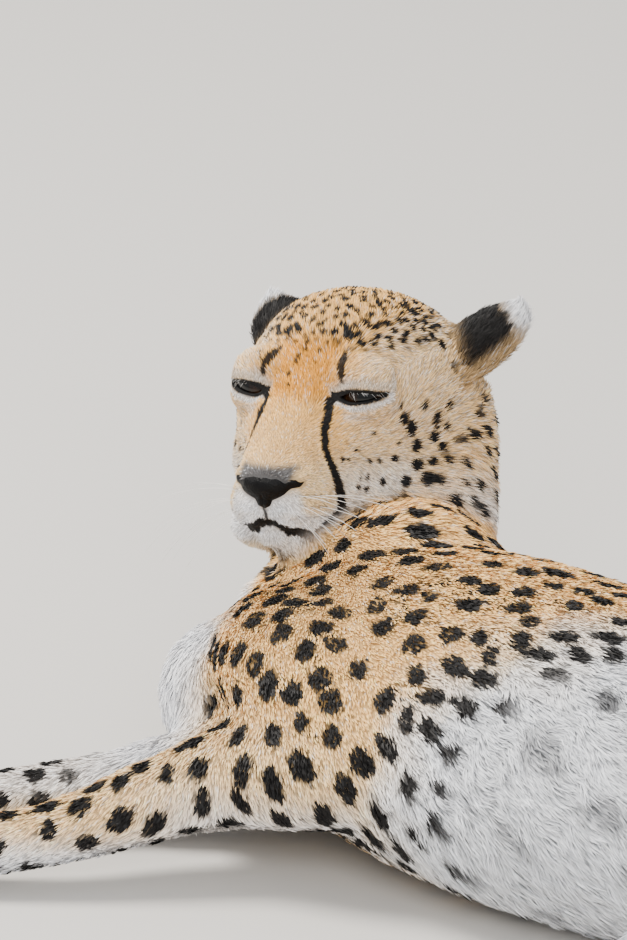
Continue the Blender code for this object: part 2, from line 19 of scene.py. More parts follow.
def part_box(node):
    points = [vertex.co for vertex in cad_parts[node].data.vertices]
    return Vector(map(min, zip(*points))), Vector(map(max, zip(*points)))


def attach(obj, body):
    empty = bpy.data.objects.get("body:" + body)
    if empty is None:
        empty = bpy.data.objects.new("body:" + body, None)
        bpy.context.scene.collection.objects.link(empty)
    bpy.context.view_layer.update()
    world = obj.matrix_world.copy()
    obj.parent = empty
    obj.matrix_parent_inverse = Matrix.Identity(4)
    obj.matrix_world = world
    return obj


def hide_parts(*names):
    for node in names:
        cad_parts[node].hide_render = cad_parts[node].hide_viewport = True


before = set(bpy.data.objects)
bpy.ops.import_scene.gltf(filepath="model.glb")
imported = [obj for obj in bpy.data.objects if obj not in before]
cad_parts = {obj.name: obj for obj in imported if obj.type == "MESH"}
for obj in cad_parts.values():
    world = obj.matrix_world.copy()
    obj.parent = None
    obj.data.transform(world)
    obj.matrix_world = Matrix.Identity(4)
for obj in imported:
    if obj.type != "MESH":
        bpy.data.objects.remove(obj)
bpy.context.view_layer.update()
chance = np.random.default_rng(11)

# %% [markdown]
# ## The head's own axes
#
# A face is easiest to shape in its own axes: forward to the nose, left to the left ear, up to the crown. The two
# eyeballs say where the head is, and three turns say how it is held, so every crease below is given as a place on
# the head and not in the room. The other half of a symmetric feature is its mirror image.

# %% Head axes
HEAD_TURN, HEAD_LIFT, HEAD_TILT = 103.7, 7.0, 3.4  # degrees
EYE_RADIUS = 0.0165
EYE_PLACE = np.array((0.006, 0.033, 0.001))  # the left eye's centre on the head
EYE_LOOKS_OUT = 27.0


def middle_of(node):
    low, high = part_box(node)
    return (low + high) / 2


held = (
    Matrix.Rotation(math.radians(HEAD_TURN), 4, "Z")
    @ Matrix.Rotation(math.radians(-HEAD_LIFT), 4, "Y")
    @ Matrix.Rotation(math.radians(HEAD_TILT), 4, "X")
)
between_eyes = (middle_of("eye_left") + middle_of("eye_right")) / 2
HEAD = Matrix.Translation(between_eyes - held @ Vector((EYE_PLACE[0], 0, EYE_PLACE[2]))) @ held
head_turn = np.array(HEAD)[:3, :3]
head_place = np.array(HEAD)[:3, 3]


def on_head(points):
    """World points in the head's axes."""
    return (points - head_place) @ head_turn


def in_world(points):
    return np.asarray(points) @ head_turn.T + head_place


print("head stands at", [round(v, 4) for v in head_place])

# %% [markdown]
# ## Camera, floor and light
#
# The camera looks down at the head from in front of the belly, low and from far off with a long lens, so the body
# runs away behind the head without getting much smaller. The floor is plain and pale. One wide lamp overhead and a
# bright surround give the soft light of an overcast day, a little warmer from the left.

# %% Camera, floor and light
CAMERA_AZIMUTH, CAMERA_ELEVATION, CAMERA_DISTANCE = 218.0, 20.0, 7.0
LONG_LENS = 455.7  # millimetres
AIM_FROM_HEAD = Vector((-0.0561, 0.0766, -0.0171))


def add_camera():
    turned, raised = math.radians(CAMERA_AZIMUTH), math.radians(CAMERA_ELEVATION)
    back = Vector((math.sin(turned) * math.cos(raised), -math.cos(turned) * math.cos(raised), math.sin(raised)))
    aim = Vector(head_place) + AIM_FROM_HEAD
    camera = bpy.data.objects.new("camera", bpy.data.cameras.new("camera"))
    camera.data.lens = LONG_LENS
    camera.data.clip_end = 100
    camera.location = aim + back * CAMERA_DISTANCE
    camera.rotation_euler = (-back).to_track_quat("-Z", "Y").to_euler()
    bpy.context.scene.collection.objects.link(camera)
    bpy.context.scene.camera = camera
    return aim


def add_lamp(name, place, aim, size, power, colour):
    lamp = bpy.data.lights.new(name, "AREA")
    lamp.shape = "DISK"
    lamp.size = size
    lamp.energy = power
    lamp.color = colour
    obj = bpy.data.objects.new(name, lamp)
    obj.location = place
    obj.rotation_euler = (Vector(aim) - Vector(place)).to_track_quat("-Z", "Y").to_euler()
    bpy.context.scene.collection.objects.link(obj)


aim_point = add_camera()
add_lamp("wide lamp", aim_point + Vector((1.6, 0.6, 2.6)), aim_point, 1.4, 185, (1.0, 0.95, 0.88))
add_lamp("front fill", aim_point + Vector((-1.9, 2.2, 1.5)), aim_point, 1.8, 84, (1.0, 0.98, 0.95))

world = bpy.data.worlds.new("surround")
bpy.context.scene.world = world
world.use_nodes = True
world.node_tree.nodes["Background"].inputs["Color"].default_value = (0.92, 0.94, 0.97, 1.0)
world.node_tree.nodes["Background"].inputs["Strength"].default_value = 0.98

# %% [markdown]
# ## Node materials
#
# Each finish is a small tree of shader nodes. A helper makes the tree and joins the nodes by name, which keeps the
# recipes below short. Values that are the same all over are set on the shader itself.

# %% Material helpers


def new_finish(name, roughness, specular=0.5):
    material = bpy.data.materials.new(name)
    material.use_nodes = True
    shader = material.node_tree.nodes["Principled BSDF"]
    shader.inputs["Roughness"].default_value = roughness
    shader.inputs["Specular IOR Level"].default_value = specular
    return material, material.node_tree, shader


def add_node(tree, kind, **values):
    """A shader node with some of its settings or sockets set."""
    node = tree.nodes.new(kind)
    for key, value in values.items():
        if key in node.inputs:
            node.inputs[key].default_value = value
        else:
            setattr(node, key, value)
    return node


def join(tree, source, output, target, socket):
    tree.links.new(source.outputs[output], target.inputs[socket])


def bumped(tree, shader, height_node, output, distance, strength):
    bump = add_node(tree, "ShaderNodeBump", Strength=strength, Distance=distance)
    join(tree, height_node, output, bump, "Height")
    join(tree, bump, "Normal", shader, "Normal")


def own_grain(tree, kind, **values):
    """A texture node that is fixed to its piece, so that its grain has the same size on every piece."""
    grain = add_node(tree, kind, **values)
    join(tree, add_node(tree, "ShaderNodeTexCoord"), "Object", grain, "Vector")
    return grain


def vary_colour(tree, shader, grain, dark, pale):
    """Lets a noise run the base colour between a dark and a pale one."""
    shade = add_node(tree, "ShaderNodeValToRGB")
    for stop, colour in zip(shade.color_ramp.elements, (dark, pale)):
        stop.color = (*colour, 1)
    join(tree, grain, "Fac", shade, "Fac")
    join(tree, shade, "Color", shader, "Base Color")


def plain_floor():
    bpy.ops.mesh.primitive_plane_add(size=40.0, location=(0, 0, 0))
    floor = bpy.context.object
    floor.name = "floor"
    material, tree, shader = new_finish("pale floor", 0.9, 0.1)
    mottle = add_node(tree, "ShaderNodeTexNoise", Scale=3.0, Detail=4.0)
    vary_colour(tree, shader, mottle, (0.60, 0.58, 0.55), (0.66, 0.64, 0.61))
    floor.data.materials.append(material)


plain_floor()

# %% [markdown]
# ## One skin over every flesh piece
#
# On a real animal nothing shows where a leg ends and the trunk begins. The flesh solids are copied, swollen a
# little so that they run into each other, and remeshed into one closed surface. The alternative is to bridge the
# pieces by hand, but a remesh also rounds the creases between them. The face is then divided once more, because
# lids and lips need finer cells than a flank does.

# %% Join the flesh
FLESH = sorted(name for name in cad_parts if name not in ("nose", "eye_left", "eye_right"))
SWELL = 0.0013
SKIN_CELL = 0.0024


def welded_copy(name):
    """A bmesh of a solid, with the corners that share a place made one."""
    bm = bmesh.new()
    bm.from_mesh(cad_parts[name].data)
    bmesh.ops.remove_doubles(bm, verts=bm.verts, dist=2e-5)
    bmesh.ops.recalc_face_normals(bm, faces=bm.faces)
    bm.normal_update()
    return bm


def shaped_by(obj, kind, **settings):
    """The mesh that a modifier makes of an object."""
    modifier = obj.modifiers.new(kind.lower(), kind)
    for key, value in settings.items():
        setattr(modifier, key, value)
    graph = bpy.context.evaluated_depsgraph_get()
    graph.update()
    mesh = bpy.data.meshes.new_from_object(obj.evaluated_get(graph))
    obj.modifiers.clear()
    obj.data = mesh
    return mesh


def link_new(name, mesh):
    obj = bpy.data.objects.new(name, mesh)
    bpy.context.scene.collection.objects.link(obj)
    return obj


def mesh_from(bm, name):
    """A mesh made from a bmesh, which is let go."""
    mesh = bpy.data.meshes.new(name)
    bm.to_mesh(mesh)
    bm.free()
    return mesh


def joined_flesh():
    whole = bmesh.new()
    for name in FLESH + ["eye_left", "eye_right", "nose"]:
        piece = welded_copy(name)
        for vert in piece.verts:
            vert.co += vert.normal * SWELL
        whole.from_mesh(mesh_from(piece, name))
    return link_new("skin", mesh_from(whole, "skin"))


skin = joined_flesh()
shaped_by(skin, "REMESH", mode="VOXEL", voxel_size=SKIN_CELL)

# %% Divide the face
# The front of the head, in metres on it.
FRONT_FROM, FRONT_TO, FRONT_SIDE, FRONT_LOW = -0.028, 0.1, 0.062, -0.100


def divide_face(obj):
    """Cuts the cells of the front of the head in four."""
    bm = bmesh.new()
    bm.from_mesh(obj.data)
    x, y, z = on_head(np.array([face.calc_center_median() for face in bm.faces])).T
    front = (x > FRONT_FROM) & (x < FRONT_TO) & (np.abs(y) < FRONT_SIDE) & (z > FRONT_LOW)
    edges = set()
    for face, chosen in zip(bm.faces, front):
        if chosen:
            edges.update(face.edges)
    bmesh.ops.subdivide_edges(bm, edges=list(edges), cuts=1, use_grid_fill=True)
    bm.to_mesh(obj.data)
    bm.free()


divide_face(skin)
print("skin cells:", len(skin.data.polygons))

# %% Mesh arrays


def read_all(items, key, width, kind=float):
    """One row of numbers for each item of a mesh, all read at once."""
    flat = np.empty(len(items) * width, kind)
    items.foreach_get(key, flat)
    return flat.reshape(-1, width)


def points_of(mesh):
    return read_all(mesh.vertices, "co", 3)


def normals_of(mesh):
    return read_all(mesh.vertex_normals, "vector", 3, np.float32).astype(float)


def triangles_of(mesh, key="vertices"):
    mesh.calc_loop_triangles()
    return read_all(mesh.loop_triangles, key, 3, np.int32)


def set_points(mesh, points):
    mesh.vertices.foreach_set("co", points.astype(np.float32).ravel())
    mesh.update()


def smoothstep(low, high, value):
    """0 up to low and 1 from high on, with a soft S between. Low may be the greater of the two."""
    t = np.clip((value - low) / (high - low), 0, 1)
    return t * t * (3 - 2 * t)


def norms(rows):
    return np.linalg.norm(rows, axis=1)


def unit(rows):
    return rows / np.maximum(norms(rows)[:, None], 1e-9)


class Net:
    """The edges of a mesh, for spreading numbers from each point to its neighbours."""

    def __init__(self, mesh):
        self.a, self.b = read_all(mesh.edges, "vertices", 2, np.int32).T
        self.count = len(mesh.vertices)
        self.links = np.maximum(np.bincount(np.concatenate([self.a, self.b]), minlength=self.count), 1)

    def mean(self, rows):
        rows = rows.reshape(self.count, -1)
        made = np.empty_like(rows, float)
        for k in range(rows.shape[1]):
            column = rows[:, k]
            total = np.bincount(self.a, column[self.b], self.count)
            total += np.bincount(self.b, column[self.a], self.count)
            made[:, k] = total / self.links
        return made

    def spread(self, rows, times):
        rows = rows.reshape(self.count, -1).astype(float)
        for _ in range(times):
            rows = 0.5 * rows + 0.5 * self.mean(rows)
        return rows


# %% [markdown]
# ## Smoothing the flesh
#
# The solids have broad facets, which fur would not hide. Each point moves towards the middle of its neighbours and
# then a little back, so that facets go and the legs don't get thinner. The trunk takes many such steps. The face,
# the ears and the paws take few, because their small forms are what makes them read.

# %% Smooth the facets

SMALL_FORMS = [name for name in FLESH if name.startswith("ear") or "paw" in name]
SMOOTHING_ROUNDS, LAST_ROUNDS = 46, 7


def smooth_flesh(mesh):
    net = Net(mesh)
    points = points_of(mesh)
    place = on_head(points)
    softness = 1 - 0.86 * smoothstep(-0.10, -0.03, place[:, 0]) * smoothstep(0.16, 0.09, norms(place))
    for name in SMALL_FORMS:
        low, high = map(np.array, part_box(name))
        outside = np.maximum(np.maximum(low - points, points - high), 0)
        softness = np.minimum(softness, 0.12 + norms(outside) / 0.03)
    softness = np.clip(softness, 0, 1)[:, None]
    for _ in range(SMOOTHING_ROUNDS):
        points = points + 0.55 * softness * (net.mean(points) - points)
        points = points - 0.50 * softness * (net.mean(points) - points)
    for _ in range(LAST_ROUNDS):
        points = points + 0.4 * softness * (net.mean(points) - points)
    set_points(mesh, points)


smooth_flesh(skin.data)
print("smoothed:", len(skin.data.vertices), "points")

# %% [markdown]
# ## Toes
#
# Four toes lie side by side at the front of each foot. The way a foot points is the direction in which its solid is
# longest, and three creases are pressed in along that direction, between the toes.

# %% Toes
PAW_LIMBS = {
    f"{paw}_{side}": f"{limb}_{side}"
    for paw, limb in (("forepaw", "forearm"), ("hindpaw", "shank")) for side in ("left", "right")
}
TOE_LENGTH, TOE_CREASE, CREASE_DEPTH = 0.040, 0.0026, 0.0042
TOE_ROOT, TOE_TIP = 0.012, 0.022  # where the creases begin, and how much of the foot is its front


def paw_axes(paw, limb):
    """The way the foot points, the way across it, how far its toes reach and its two sides."""
    solid = points_of(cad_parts[paw].data)
    flat = solid[:, :2] - solid[:, :2].mean(axis=0)
    longest = np.linalg.eigh(flat.T @ flat)[1][:, 1]
    from_limb = solid[:, :2].mean(axis=0) - points_of(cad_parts[limb].data)[:, :2].mean(axis=0)
    longest = longest * np.sign(longest @ from_limb)
    forward, aside = np.array((*longest, 0)), np.array((-longest[1], longest[0], 0))
    reach, across = solid @ forward, solid @ aside
    front = reach > reach.max() - TOE_TIP
    return forward, aside, reach.max(), across[front].min(), across[front].max()


def crease_toes(mesh):
    points, normals = points_of(mesh), normals_of(mesh)
    pressed = np.zeros(len(points))
    for paw, limb in PAW_LIMBS.items():
        forward, aside, tip, low, high = paw_axes(paw, limb)
        box_low, box_high = map(np.array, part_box(paw))
        inside = ((points > box_low - 0.004) & (points < box_high + 0.004)).all(axis=1)
        reach, across = points @ forward, points @ aside
        along = smoothstep(tip - TOE_LENGTH - TOE_ROOT, tip - TOE_LENGTH + 0.5 * TOE_ROOT, reach)
        along = along * smoothstep(-0.7, 0.0, normals[:, 2])
        for k in (1, 2, 3):
            gap = across - (low + (high - low) * k / 4)
            pressed = np.maximum(pressed, inside * along * np.exp(-((gap / TOE_CREASE) ** 2)))
    set_points(mesh, points - normals * CREASE_DEPTH * pressed[:, None])
    print("creased between the toes:", int((pressed > 0.5).sum()), "points")


crease_toes(skin.data)

# %% [markdown]
# ## Modelling the face
#
# A modeller works a head with strokes: a crease pressed in here, a fold raised there. Each stroke below is a short
# line on the head in millimetres with a width and a depth, and its mirror image is worked too. The lids are shells
# round the eyeballs, so the skin is first brought out to a ball a little larger than each eye.

# %% Face strokes
LID_SHELL = 0.0017
LID_BLEND = 0.0045  # metres over which the ball runs out into the skin round it
STROKES = {
    # name: (points on the head in mm, reach in mm, height in mm)
    "fold over the lid": ([(27, 20, 3), (24, 27, 11), (17, 40, 13), (8, 49, 10)], 3.4, -1.3),
    "brow": ([(24, 15, 9), (20, 24, 18), (12, 36, 21), (2, 47, 16)], 8.0, 1.6),
    "inner corner": ([(32, 18, -5), (26, 20, -1)], 5.0, -2.2),
    "pouch under the lid": ([(27, 24, -12), (21, 36, -12), (11, 47, -8)], 4.0, 0.8),
    "side of the nose": ([(36, 17, -12), (48, 16.5, -24), (58, 16, -34)], 6.0, -1.5),
    "bridge edge": ([(34, 9, -1), (48, 8.5, -10), (62, 8, -22)], 6.0, 0.9),
    "cheek bone": ([(18, 42, -20), (4, 50, -18), (-12, 56, -12)], 10.0, 1.6),
    "hollow under the cheek": ([(30, 36, -34), (20, 43, -44), (8, 47, -54)], 11.0, -1.6),
    "temple": ([(-6, 48, 12), (-22, 52, 20), (-36, 54, 24)], 12.0, -1.4),
    "low side of the muzzle": ([(80, 16, -66), (76, 20, -70), (70, 24, -74)], 6.5, -4.2),
    "chin sides": ([(72, 15, -80), (62, 20, -86)], 9.0, -4.0),
    "whisker pad": ([(70, 12, -56), (62, 19, -58), (52, 24, -60)], 9.0, 1.5),
    "wing crease": ([(66, 23, -42), (60, 24, -48)], 4.0, -1.2),
    "lip edge": ([(76, 5, -69.5), (71, 13, -71), (62, 22, -71.5), (48, 28, -70)], 3.4, 1.0),
    "under the chin": ([(66, 0.6, -90), (54, 12, -92), (42, 22, -91)], 9.0, -4.6),
    "mouth": ([(76, 0.6, -69.5), (74, 4, -71.5), (71, 10, -74.5), (66, 18, -75), (56, 26, -75.5), (45, 29, -74),
               (38, 29, -71)], 2.0, -1.9),
    "jaw corner": ([(30, 28, -78), (10, 34, -84)], 9.0, 1.0),
    "lip groove": ([(79, 0, -53), (79.5, 0, -60), (77, 0, -68)], 2.3, -1.9),
    "forehead groove": ([(30, 0, 6), (14, 0, 26), (-6, 0, 42)], 5.0, -0.9),
    "chin": ([(66, 0, -80), (58, 0, -87)], 9.0, 1.6),
}
OPEN_ENDED = ("lip groove", "mouth", "lip edge")  # these strokes don't fade at their ends
FACE_LINE = 0.5  # mm: a stroke nearer to the middle than this has no mirror image


# %% Press the strokes in


def distance_to_line(points, line):
    """Each point's distance to a polyline, and how far along it the nearest place is (0 to 1)."""
    line = np.asarray(line, float)
    steps = norms(np.diff(line, axis=0))
    before = np.concatenate([[0], np.cumsum(steps)])
    best = np.full(len(points), 1e9)
    along = np.zeros(len(points))
    for i, (start, end) in enumerate(zip(line, line[1:])):
        way = end - start
        t = np.clip((points - start) @ way / max(way @ way, 1e-12), 0, 1)
        gap = norms(points - (start + t[:, None] * way))
        nearer = gap < best
        best[nearer] = gap[nearer]
        along[nearer] = ((before[i] + t * steps[i]) / before[-1])[nearer]
    return best, along


def both_sides(line):
    """A line on the left of the head and its mirror image, or the line alone if it runs down the middle."""
    line = np.asarray(line, float)
    if np.abs(line[:, 1]).max() < FACE_LINE:
        return [line]
    return [line, line * (1, -1, 1)]


def model_face(mesh):
    points, normals = points_of(mesh), normals_of(mesh)
    place = on_head(points) * 1000
    raised = np.zeros(len(points))
    for name, (line, reach, height) in STROKES.items():
        for side in both_sides(line):
            gap, along = distance_to_line(place, side)
            faded = smoothstep(-0.25, 0.2, along) * smoothstep(1.25, 0.8, along)
            ends = 1 if name in OPEN_ENDED else faded
            raised += height * np.exp(-((gap / reach) ** 2) * 1.6) * ends
    place = on_head(points + normals * raised[:, None] / 1000)
    shell = EYE_RADIUS + LID_SHELL
    for side in (1, -1):
        away = place - EYE_PLACE * (1, side, 1)
        reach = norms(away)
        over = np.clip(0.5 + 0.5 * (reach - shell) / LID_BLEND, 0, 1)
        brought_out = shell * (1 - over) + reach * over + LID_BLEND * over * (1 - over)
        front = smoothstep(-0.006, 0.002, away[:, 0])
        place += away / np.maximum(reach, 1e-6)[:, None] * ((brought_out - reach) * front)[:, None]
    set_points(mesh, in_world(place))


model_face(skin.data)

# %% [markdown]
# ## Opening the lids
#
# The eyes are almost closed against the light. An almond-shaped prism is cut from the skin in front of each
# eyeball. The cut has crisp edges, which a remesh could not keep, and its walls become the thickness of the lids.

# %% Almond of the lids
SLIT_HALF_LENGTH, SLIT_RISE, SLIT_DROP = 0.0136, 0.0031, 0.0030
SLIT_INWARD, SLIT_UPWARD = 0.0021, 0.0011  # from where the eye looks
SLIT_SLANT = 2.5  # degrees, outer corner up


def eye_axes(side):
    """A matrix from an eye's own axes to the world: +X is where it looks, +Y to its left, +Z up."""
    place = Matrix.Translation(Vector(EYE_PLACE * (1, side, 1)))
    turned = Matrix.Rotation(math.radians(side * EYE_LOOKS_OUT), 4, "Z")
    slant = Matrix.Rotation(math.radians(side * SLIT_SLANT), 4, "X")
    return HEAD @ place @ turned @ slant


def slit_axes(side):
    """The same axes, moved to the middle of the slit."""
    return eye_axes(side) @ Matrix.Translation((0, -side * SLIT_INWARD, SLIT_UPWARD))


def lid_arch(across, top):
    """An arch over -1 to 1 that is highest at top, full toward the nose and drawn out toward the ear."""
    reach = (across - top) / np.where(across > top, 1 - top, 1 + top)
    return 1 - np.abs(reach) ** np.where(across > top, 1.5, 2.3)


def slit_rise(across):
    return SLIT_RISE * lid_arch(across, -0.20)


def slit_drop(across):
    return SLIT_DROP * lid_arch(across, -0.35)


def almond_gap(points, side):
    """How far each point lies outside the almond of one eye, measured across the way it looks."""
    back = np.array(slit_axes(side).inverted())
    local = points @ back[:3, :3].T + back[:3, 3]
    across = side * local[:, 1] / SLIT_HALF_LENGTH
    high = local[:, 2] - np.maximum(slit_rise(across), -0.4 * SLIT_RISE)
    low = -local[:, 2] - np.maximum(slit_drop(across), -0.4 * SLIT_DROP)
    beyond = (np.abs(across) - 1) * SLIT_HALF_LENGTH
    gap = np.maximum(np.maximum(high, low), beyond)
    front = local[:, 0] > 0.004
    return np.where(front, gap, 1.0), local


# %% Cut the slits
SLIT_STEPS, SLIT_MARGIN = 24, 0.00012  # steps along each lid, and how far the cut goes beyond the almond


def cut_slit(obj, side):
    over = [1 - 2 * i / SLIT_STEPS for i in range(SLIT_STEPS + 1)]
    below = [-1 + 2 * i / SLIT_STEPS for i in range(1, SLIT_STEPS)]
    outline = [(across, max(slit_rise(across), 0.0) + SLIT_MARGIN) for across in over]
    outline += [(across, -max(slit_drop(across), 0.0) - SLIT_MARGIN) for across in below]
    bm = bmesh.new()
    rows = []
    for depth in (EYE_RADIUS * 0.45, EYE_RADIUS * 2.0):
        rows.append([bm.verts.new((depth, side * u * SLIT_HALF_LENGTH, w)) for u, w in outline])
    for i in range(len(outline)):
        j = (i + 1) % len(outline)
        bm.faces.new((rows[0][i], rows[0][j], rows[1][j], rows[1][i]))
    for row in rows:
        bm.faces.new(row)
    bmesh.ops.recalc_face_normals(bm, faces=bm.faces)
    cutter = link_new("slit", mesh_from(bm, "slit"))
    cutter.data.transform(slit_axes(side))
    shaped_by(obj, "BOOLEAN", operation="DIFFERENCE", solver="EXACT", object=cutter)
    bpy.data.objects.remove(cutter)


# %% [markdown]
# ## Sinking the skin under the coat
#
# The solids reach out to the tips of the hairs. So the skin is sunk by the depth of the coat, which is a
# millimetre on the nose and the lids and most on the belly, the neck and the tail.

# %% Which part of the body
PARTS = sorted(FLESH)
DEPTH, SPOT, APART, HAIR = range(4)
COAT = {  # mm: from the skin to the tips, half a spot's width, from spot to spot, and a hair's length
    "head": (1.5, 2.65, 6.2, 6.0), "ear": (0.9, 0.1, 50, 7.0), "neck": (4.0, 4.2, 13.0, 8.5),
    "trunk": (3.8, 7.4, 18.0, 5.8), "upper_arm": (3.2, 7.4, 17.6, 5.0), "forearm": (2.4, 6.2, 15.5, 5.4),
    "forearm_right": (2.4, 5.4, 14.5, 5.4), "forepaw": (1.4, 3.2, 12, 2.8), "thigh": (3.4, 8.6, 21, 9.0),
    "shank": (2.4, 6.2, 17, 7.0), "hindpaw": (1.4, 3.2, 12, 2.8), "tail": (3.2, 7.5, 22, 9.0),
    "tail_tip": (3.6, 0.1, 60, 14.0),
}
CLOUD_SPACING = 0.005


def scattered_over(name, spacing):
    """Points spread evenly over a solid's triangles."""
    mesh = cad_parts[name].data
    made = []
    for a, b, c in points_of(mesh)[triangles_of(mesh)]:
        area = 0.5 * np.linalg.norm(np.cross(b - a, c - a))
        steps = max(2, int(math.sqrt(2 * area) / spacing) + 2)
        for i in range(steps):
            for j in range(steps - i):
                u, w = (i + 0.33) / steps, (j + 0.33) / steps
                if u + w < 1:
                    made.append(a + (b - a) * u + (c - a) * w)
    return np.array(made)


def part_finder():
    clouds = [scattered_over(name, CLOUD_SPACING) for name in PARTS]
    tree = KDTree(sum(map(len, clouds)))
    labels = []
    for number, cloud in enumerate(clouds):
        for point in cloud:
            tree.insert(point, len(labels))
            labels.append(number)
    tree.balance()
    return tree, np.array(labels)


part_tree, part_labels = part_finder()


def parts_of(points):
    """The number in PARTS of the solid nearest to each point."""
    return part_labels[[part_tree.find(point)[1] for point in points]]


def part_shares(mesh, blur):
    """For each point of the skin, how much it belongs to each part, blurred across the borders."""
    shares = np.zeros((len(mesh.vertices), len(PARTS)))
    shares[np.arange(len(shares)), parts_of(points_of(mesh))] = 1
    return Net(mesh).spread(shares, blur)


def by_part(shares):
    """How much each point belongs to each part, by the part's name."""
    return dict(zip(PARTS, shares.T))


def from_coat(shares, column):
    """A column of the coat's table, blended over the parts. A row holds for both sides unless one has its own."""
    keys = [name if name in COAT else name.rsplit("_", 1)[0] for name in PARTS]
    return shares @ np.array([COAT[key][column] for key in keys], float)


# %% Sink the skin


def sink_under_coat(mesh):
    points, normals = points_of(mesh), normals_of(mesh)
    place = on_head(points) * 1000
    shares = part_shares(mesh, 24)
    depth = from_coat(shares, DEPTH)
    cheek = smoothstep(20, -30, place[:, 0]) * smoothstep(20, -20, place[:, 2])
    depth += by_part(shares)["head"] * cheek * 1.6
    muzzle = smoothstep(30, 60, place[:, 0]) * smoothstep(110, 90, norms(place))
    depth = (depth * (1 - 0.55 * muzzle) + SWELL * 1000) / 1000
    for side in (1, -1):
        eye = EYE_PLACE * (1000, side * 1000, 1000)
        depth *= 1 - smoothstep(26, 19, norms(place - eye)) * (place[:, 0] > 0)
    set_points(mesh, points - normals * Net(mesh).spread(depth, 3))


sink_under_coat(skin.data)
for side in (1, -1):
    cut_slit(skin, side)
print("skin with lids:", len(skin.data.polygons), "faces")

# %% [markdown]
# ## Fewer faces where nothing small happens
#
# The flanks and legs don't need cells of two millimetres, and the face does. A decimation that is weighted by a
# vertex group takes faces away from the body first.

# %% Thin out the body
SKIN_TRIANGLES = 186000


def thin_body(obj):
    points = points_of(obj.data)
    weight = 1 - 0.93 * smoothstep(0.16, 0.10, norms(on_head(points)))
    for paw in PAW_LIMBS:
        box_low, box_high = map(np.array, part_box(paw))
        weight[((points > box_low) & (points < box_high)).all(axis=1)] = 0.4
    group = obj.vertex_groups.new(name="thin")
    for level in range(11):
        chosen = np.nonzero(np.round(weight * 10) == level)[0]
        if len(chosen):
            group.add(chosen.tolist(), max(level / 10, 0.02), "REPLACE")
    triangles = sum(len(face.vertices) - 2 for face in obj.data.polygons)
    shaped_by(obj, "DECIMATE", ratio=SKIN_TRIANGLES / triangles, vertex_group="thin", vertex_group_factor=1.0)
    obj.vertex_groups.clear()


thin_body(skin)
skin.data.shade_smooth()
SKIN_NET = Net(skin.data)
SKIN_POINTS, SKIN_NORMALS = points_of(skin.data), normals_of(skin.data)
SKIN_FACES = triangles_of(skin.data)
SHARES = part_shares(skin.data, 10)
print("thinned:", len(SKIN_FACES), "triangles")

# %% [markdown]
# ## The lie of the coat
#
# Hair on a cat lies away from the nose: back over the skull, down the neck, along the trunk and down every limb.
# The distance from the nose, walked along the skin, grows in just that way. So its slope gives the lie of the coat
# everywhere at once, and no guide hairs have to be drawn.

# %% Distance from the nose along the skin


def walked_from(start):
    """Each point's shortest way from the start along the edges."""
    steps = norms(SKIN_POINTS[SKIN_NET.a] - SKIN_POINTS[SKIN_NET.b])
    beside = [[] for _ in range(SKIN_NET.count)]
    for a, b, step in zip(SKIN_NET.a.tolist(), SKIN_NET.b.tolist(), steps.tolist()):
        beside[a].append((b, step))
        beside[b].append((a, step))
    walked = [1e9] * SKIN_NET.count
    walked[start] = 0.0
    queue = [(0.0, start)]
    while queue:
        so_far, here = heapq.heappop(queue)
        if so_far > walked[here]:
            continue
        for there, step in beside[here]:
            total = so_far + step
            if total < walked[there]:
                walked[there] = total
                heapq.heappush(queue, (total, there))
    walked = np.array(walked)
    walked[walked > 1e8] = 0
    return walked


nose_tip = int(np.argmin(norms(on_head(SKIN_POINTS) - (0.080, 0, -0.040))))
WALKED = SKIN_NET.spread(walked_from(nose_tip), 20)[:, 0]


def slope_of(values):
    """The way a number grows over the skin, at each point, found from its triangles."""
    a, b, c = (SKIN_POINTS[SKIN_FACES[:, k]] for k in range(3))
    normal = np.cross(b - a, c - a)
    area = np.maximum((normal**2).sum(axis=1, keepdims=True), 1e-16)
    va, vb, vc = (values[SKIN_FACES[:, k]][:, None] for k in range(3))
    slope = (va * np.cross(normal, c - b) + vb * np.cross(normal, a - c) + vc * np.cross(normal, b - a)) / area
    made = np.zeros((len(values), 3))
    for corner in range(3):
        for k in range(3):
            made[:, k] += np.bincount(SKIN_FACES[:, corner], slope[:, k], len(values))
    return made


def combed():
    lie = unit(slope_of(WALKED))
    for _ in range(10):
        lie = SKIN_NET.spread(lie, 2)
        lie = unit(lie - SKIN_NORMALS * (lie * SKIN_NORMALS).sum(axis=1, keepdims=True))
    return lie


LIE = combed()
print("longest way from the nose:", round(float(WALKED.max()), 2), "m")

# %% [markdown]
# ## Colours of the coat
#
# The ground colour of a cheetah changes slowly: tawny gold on the back, the shoulders and the brow, buff on the
# cheeks and the neck, white on the belly, the chest, the chin and the inner legs. Each of those is one colour, and
# soft masks over the body say where it holds. Some shade is painted in as colour: the belly's white and the chin
# below the lip are laid greyer, and the underside of the chin cream. Colours are written the way a painter mixes
# them, from 0 to 255.

# %% Paints


def paint(red, green, blue):
    """A mixed colour as the linear light that a renderer works in."""
    share = np.array((red, green, blue)) / 255
    return np.where(share <= 0.04045, share / 12.92, ((share + 0.055) / 1.055) ** 2.4)


TAWNY = paint(243, 194, 122)
GOLD = paint(234, 182, 110)
FACE_TAWNY = paint(232, 180, 102)
BROW_ORANGE = paint(216, 148, 50)
GREY_BUFF = paint(240, 201, 146)
CREAM = paint(240, 214, 170)
FACE_CREAM = paint(238, 206, 156)
# The belly's white, greyer and bluer than WHITE: painted shade, because the belly lies in shade.
BELLY_WHITE_IN_PAINTED_SHADE = paint(219, 221, 225)
WHITE = paint(236, 237, 241)
PALE_GREY = paint(208, 200, 190)
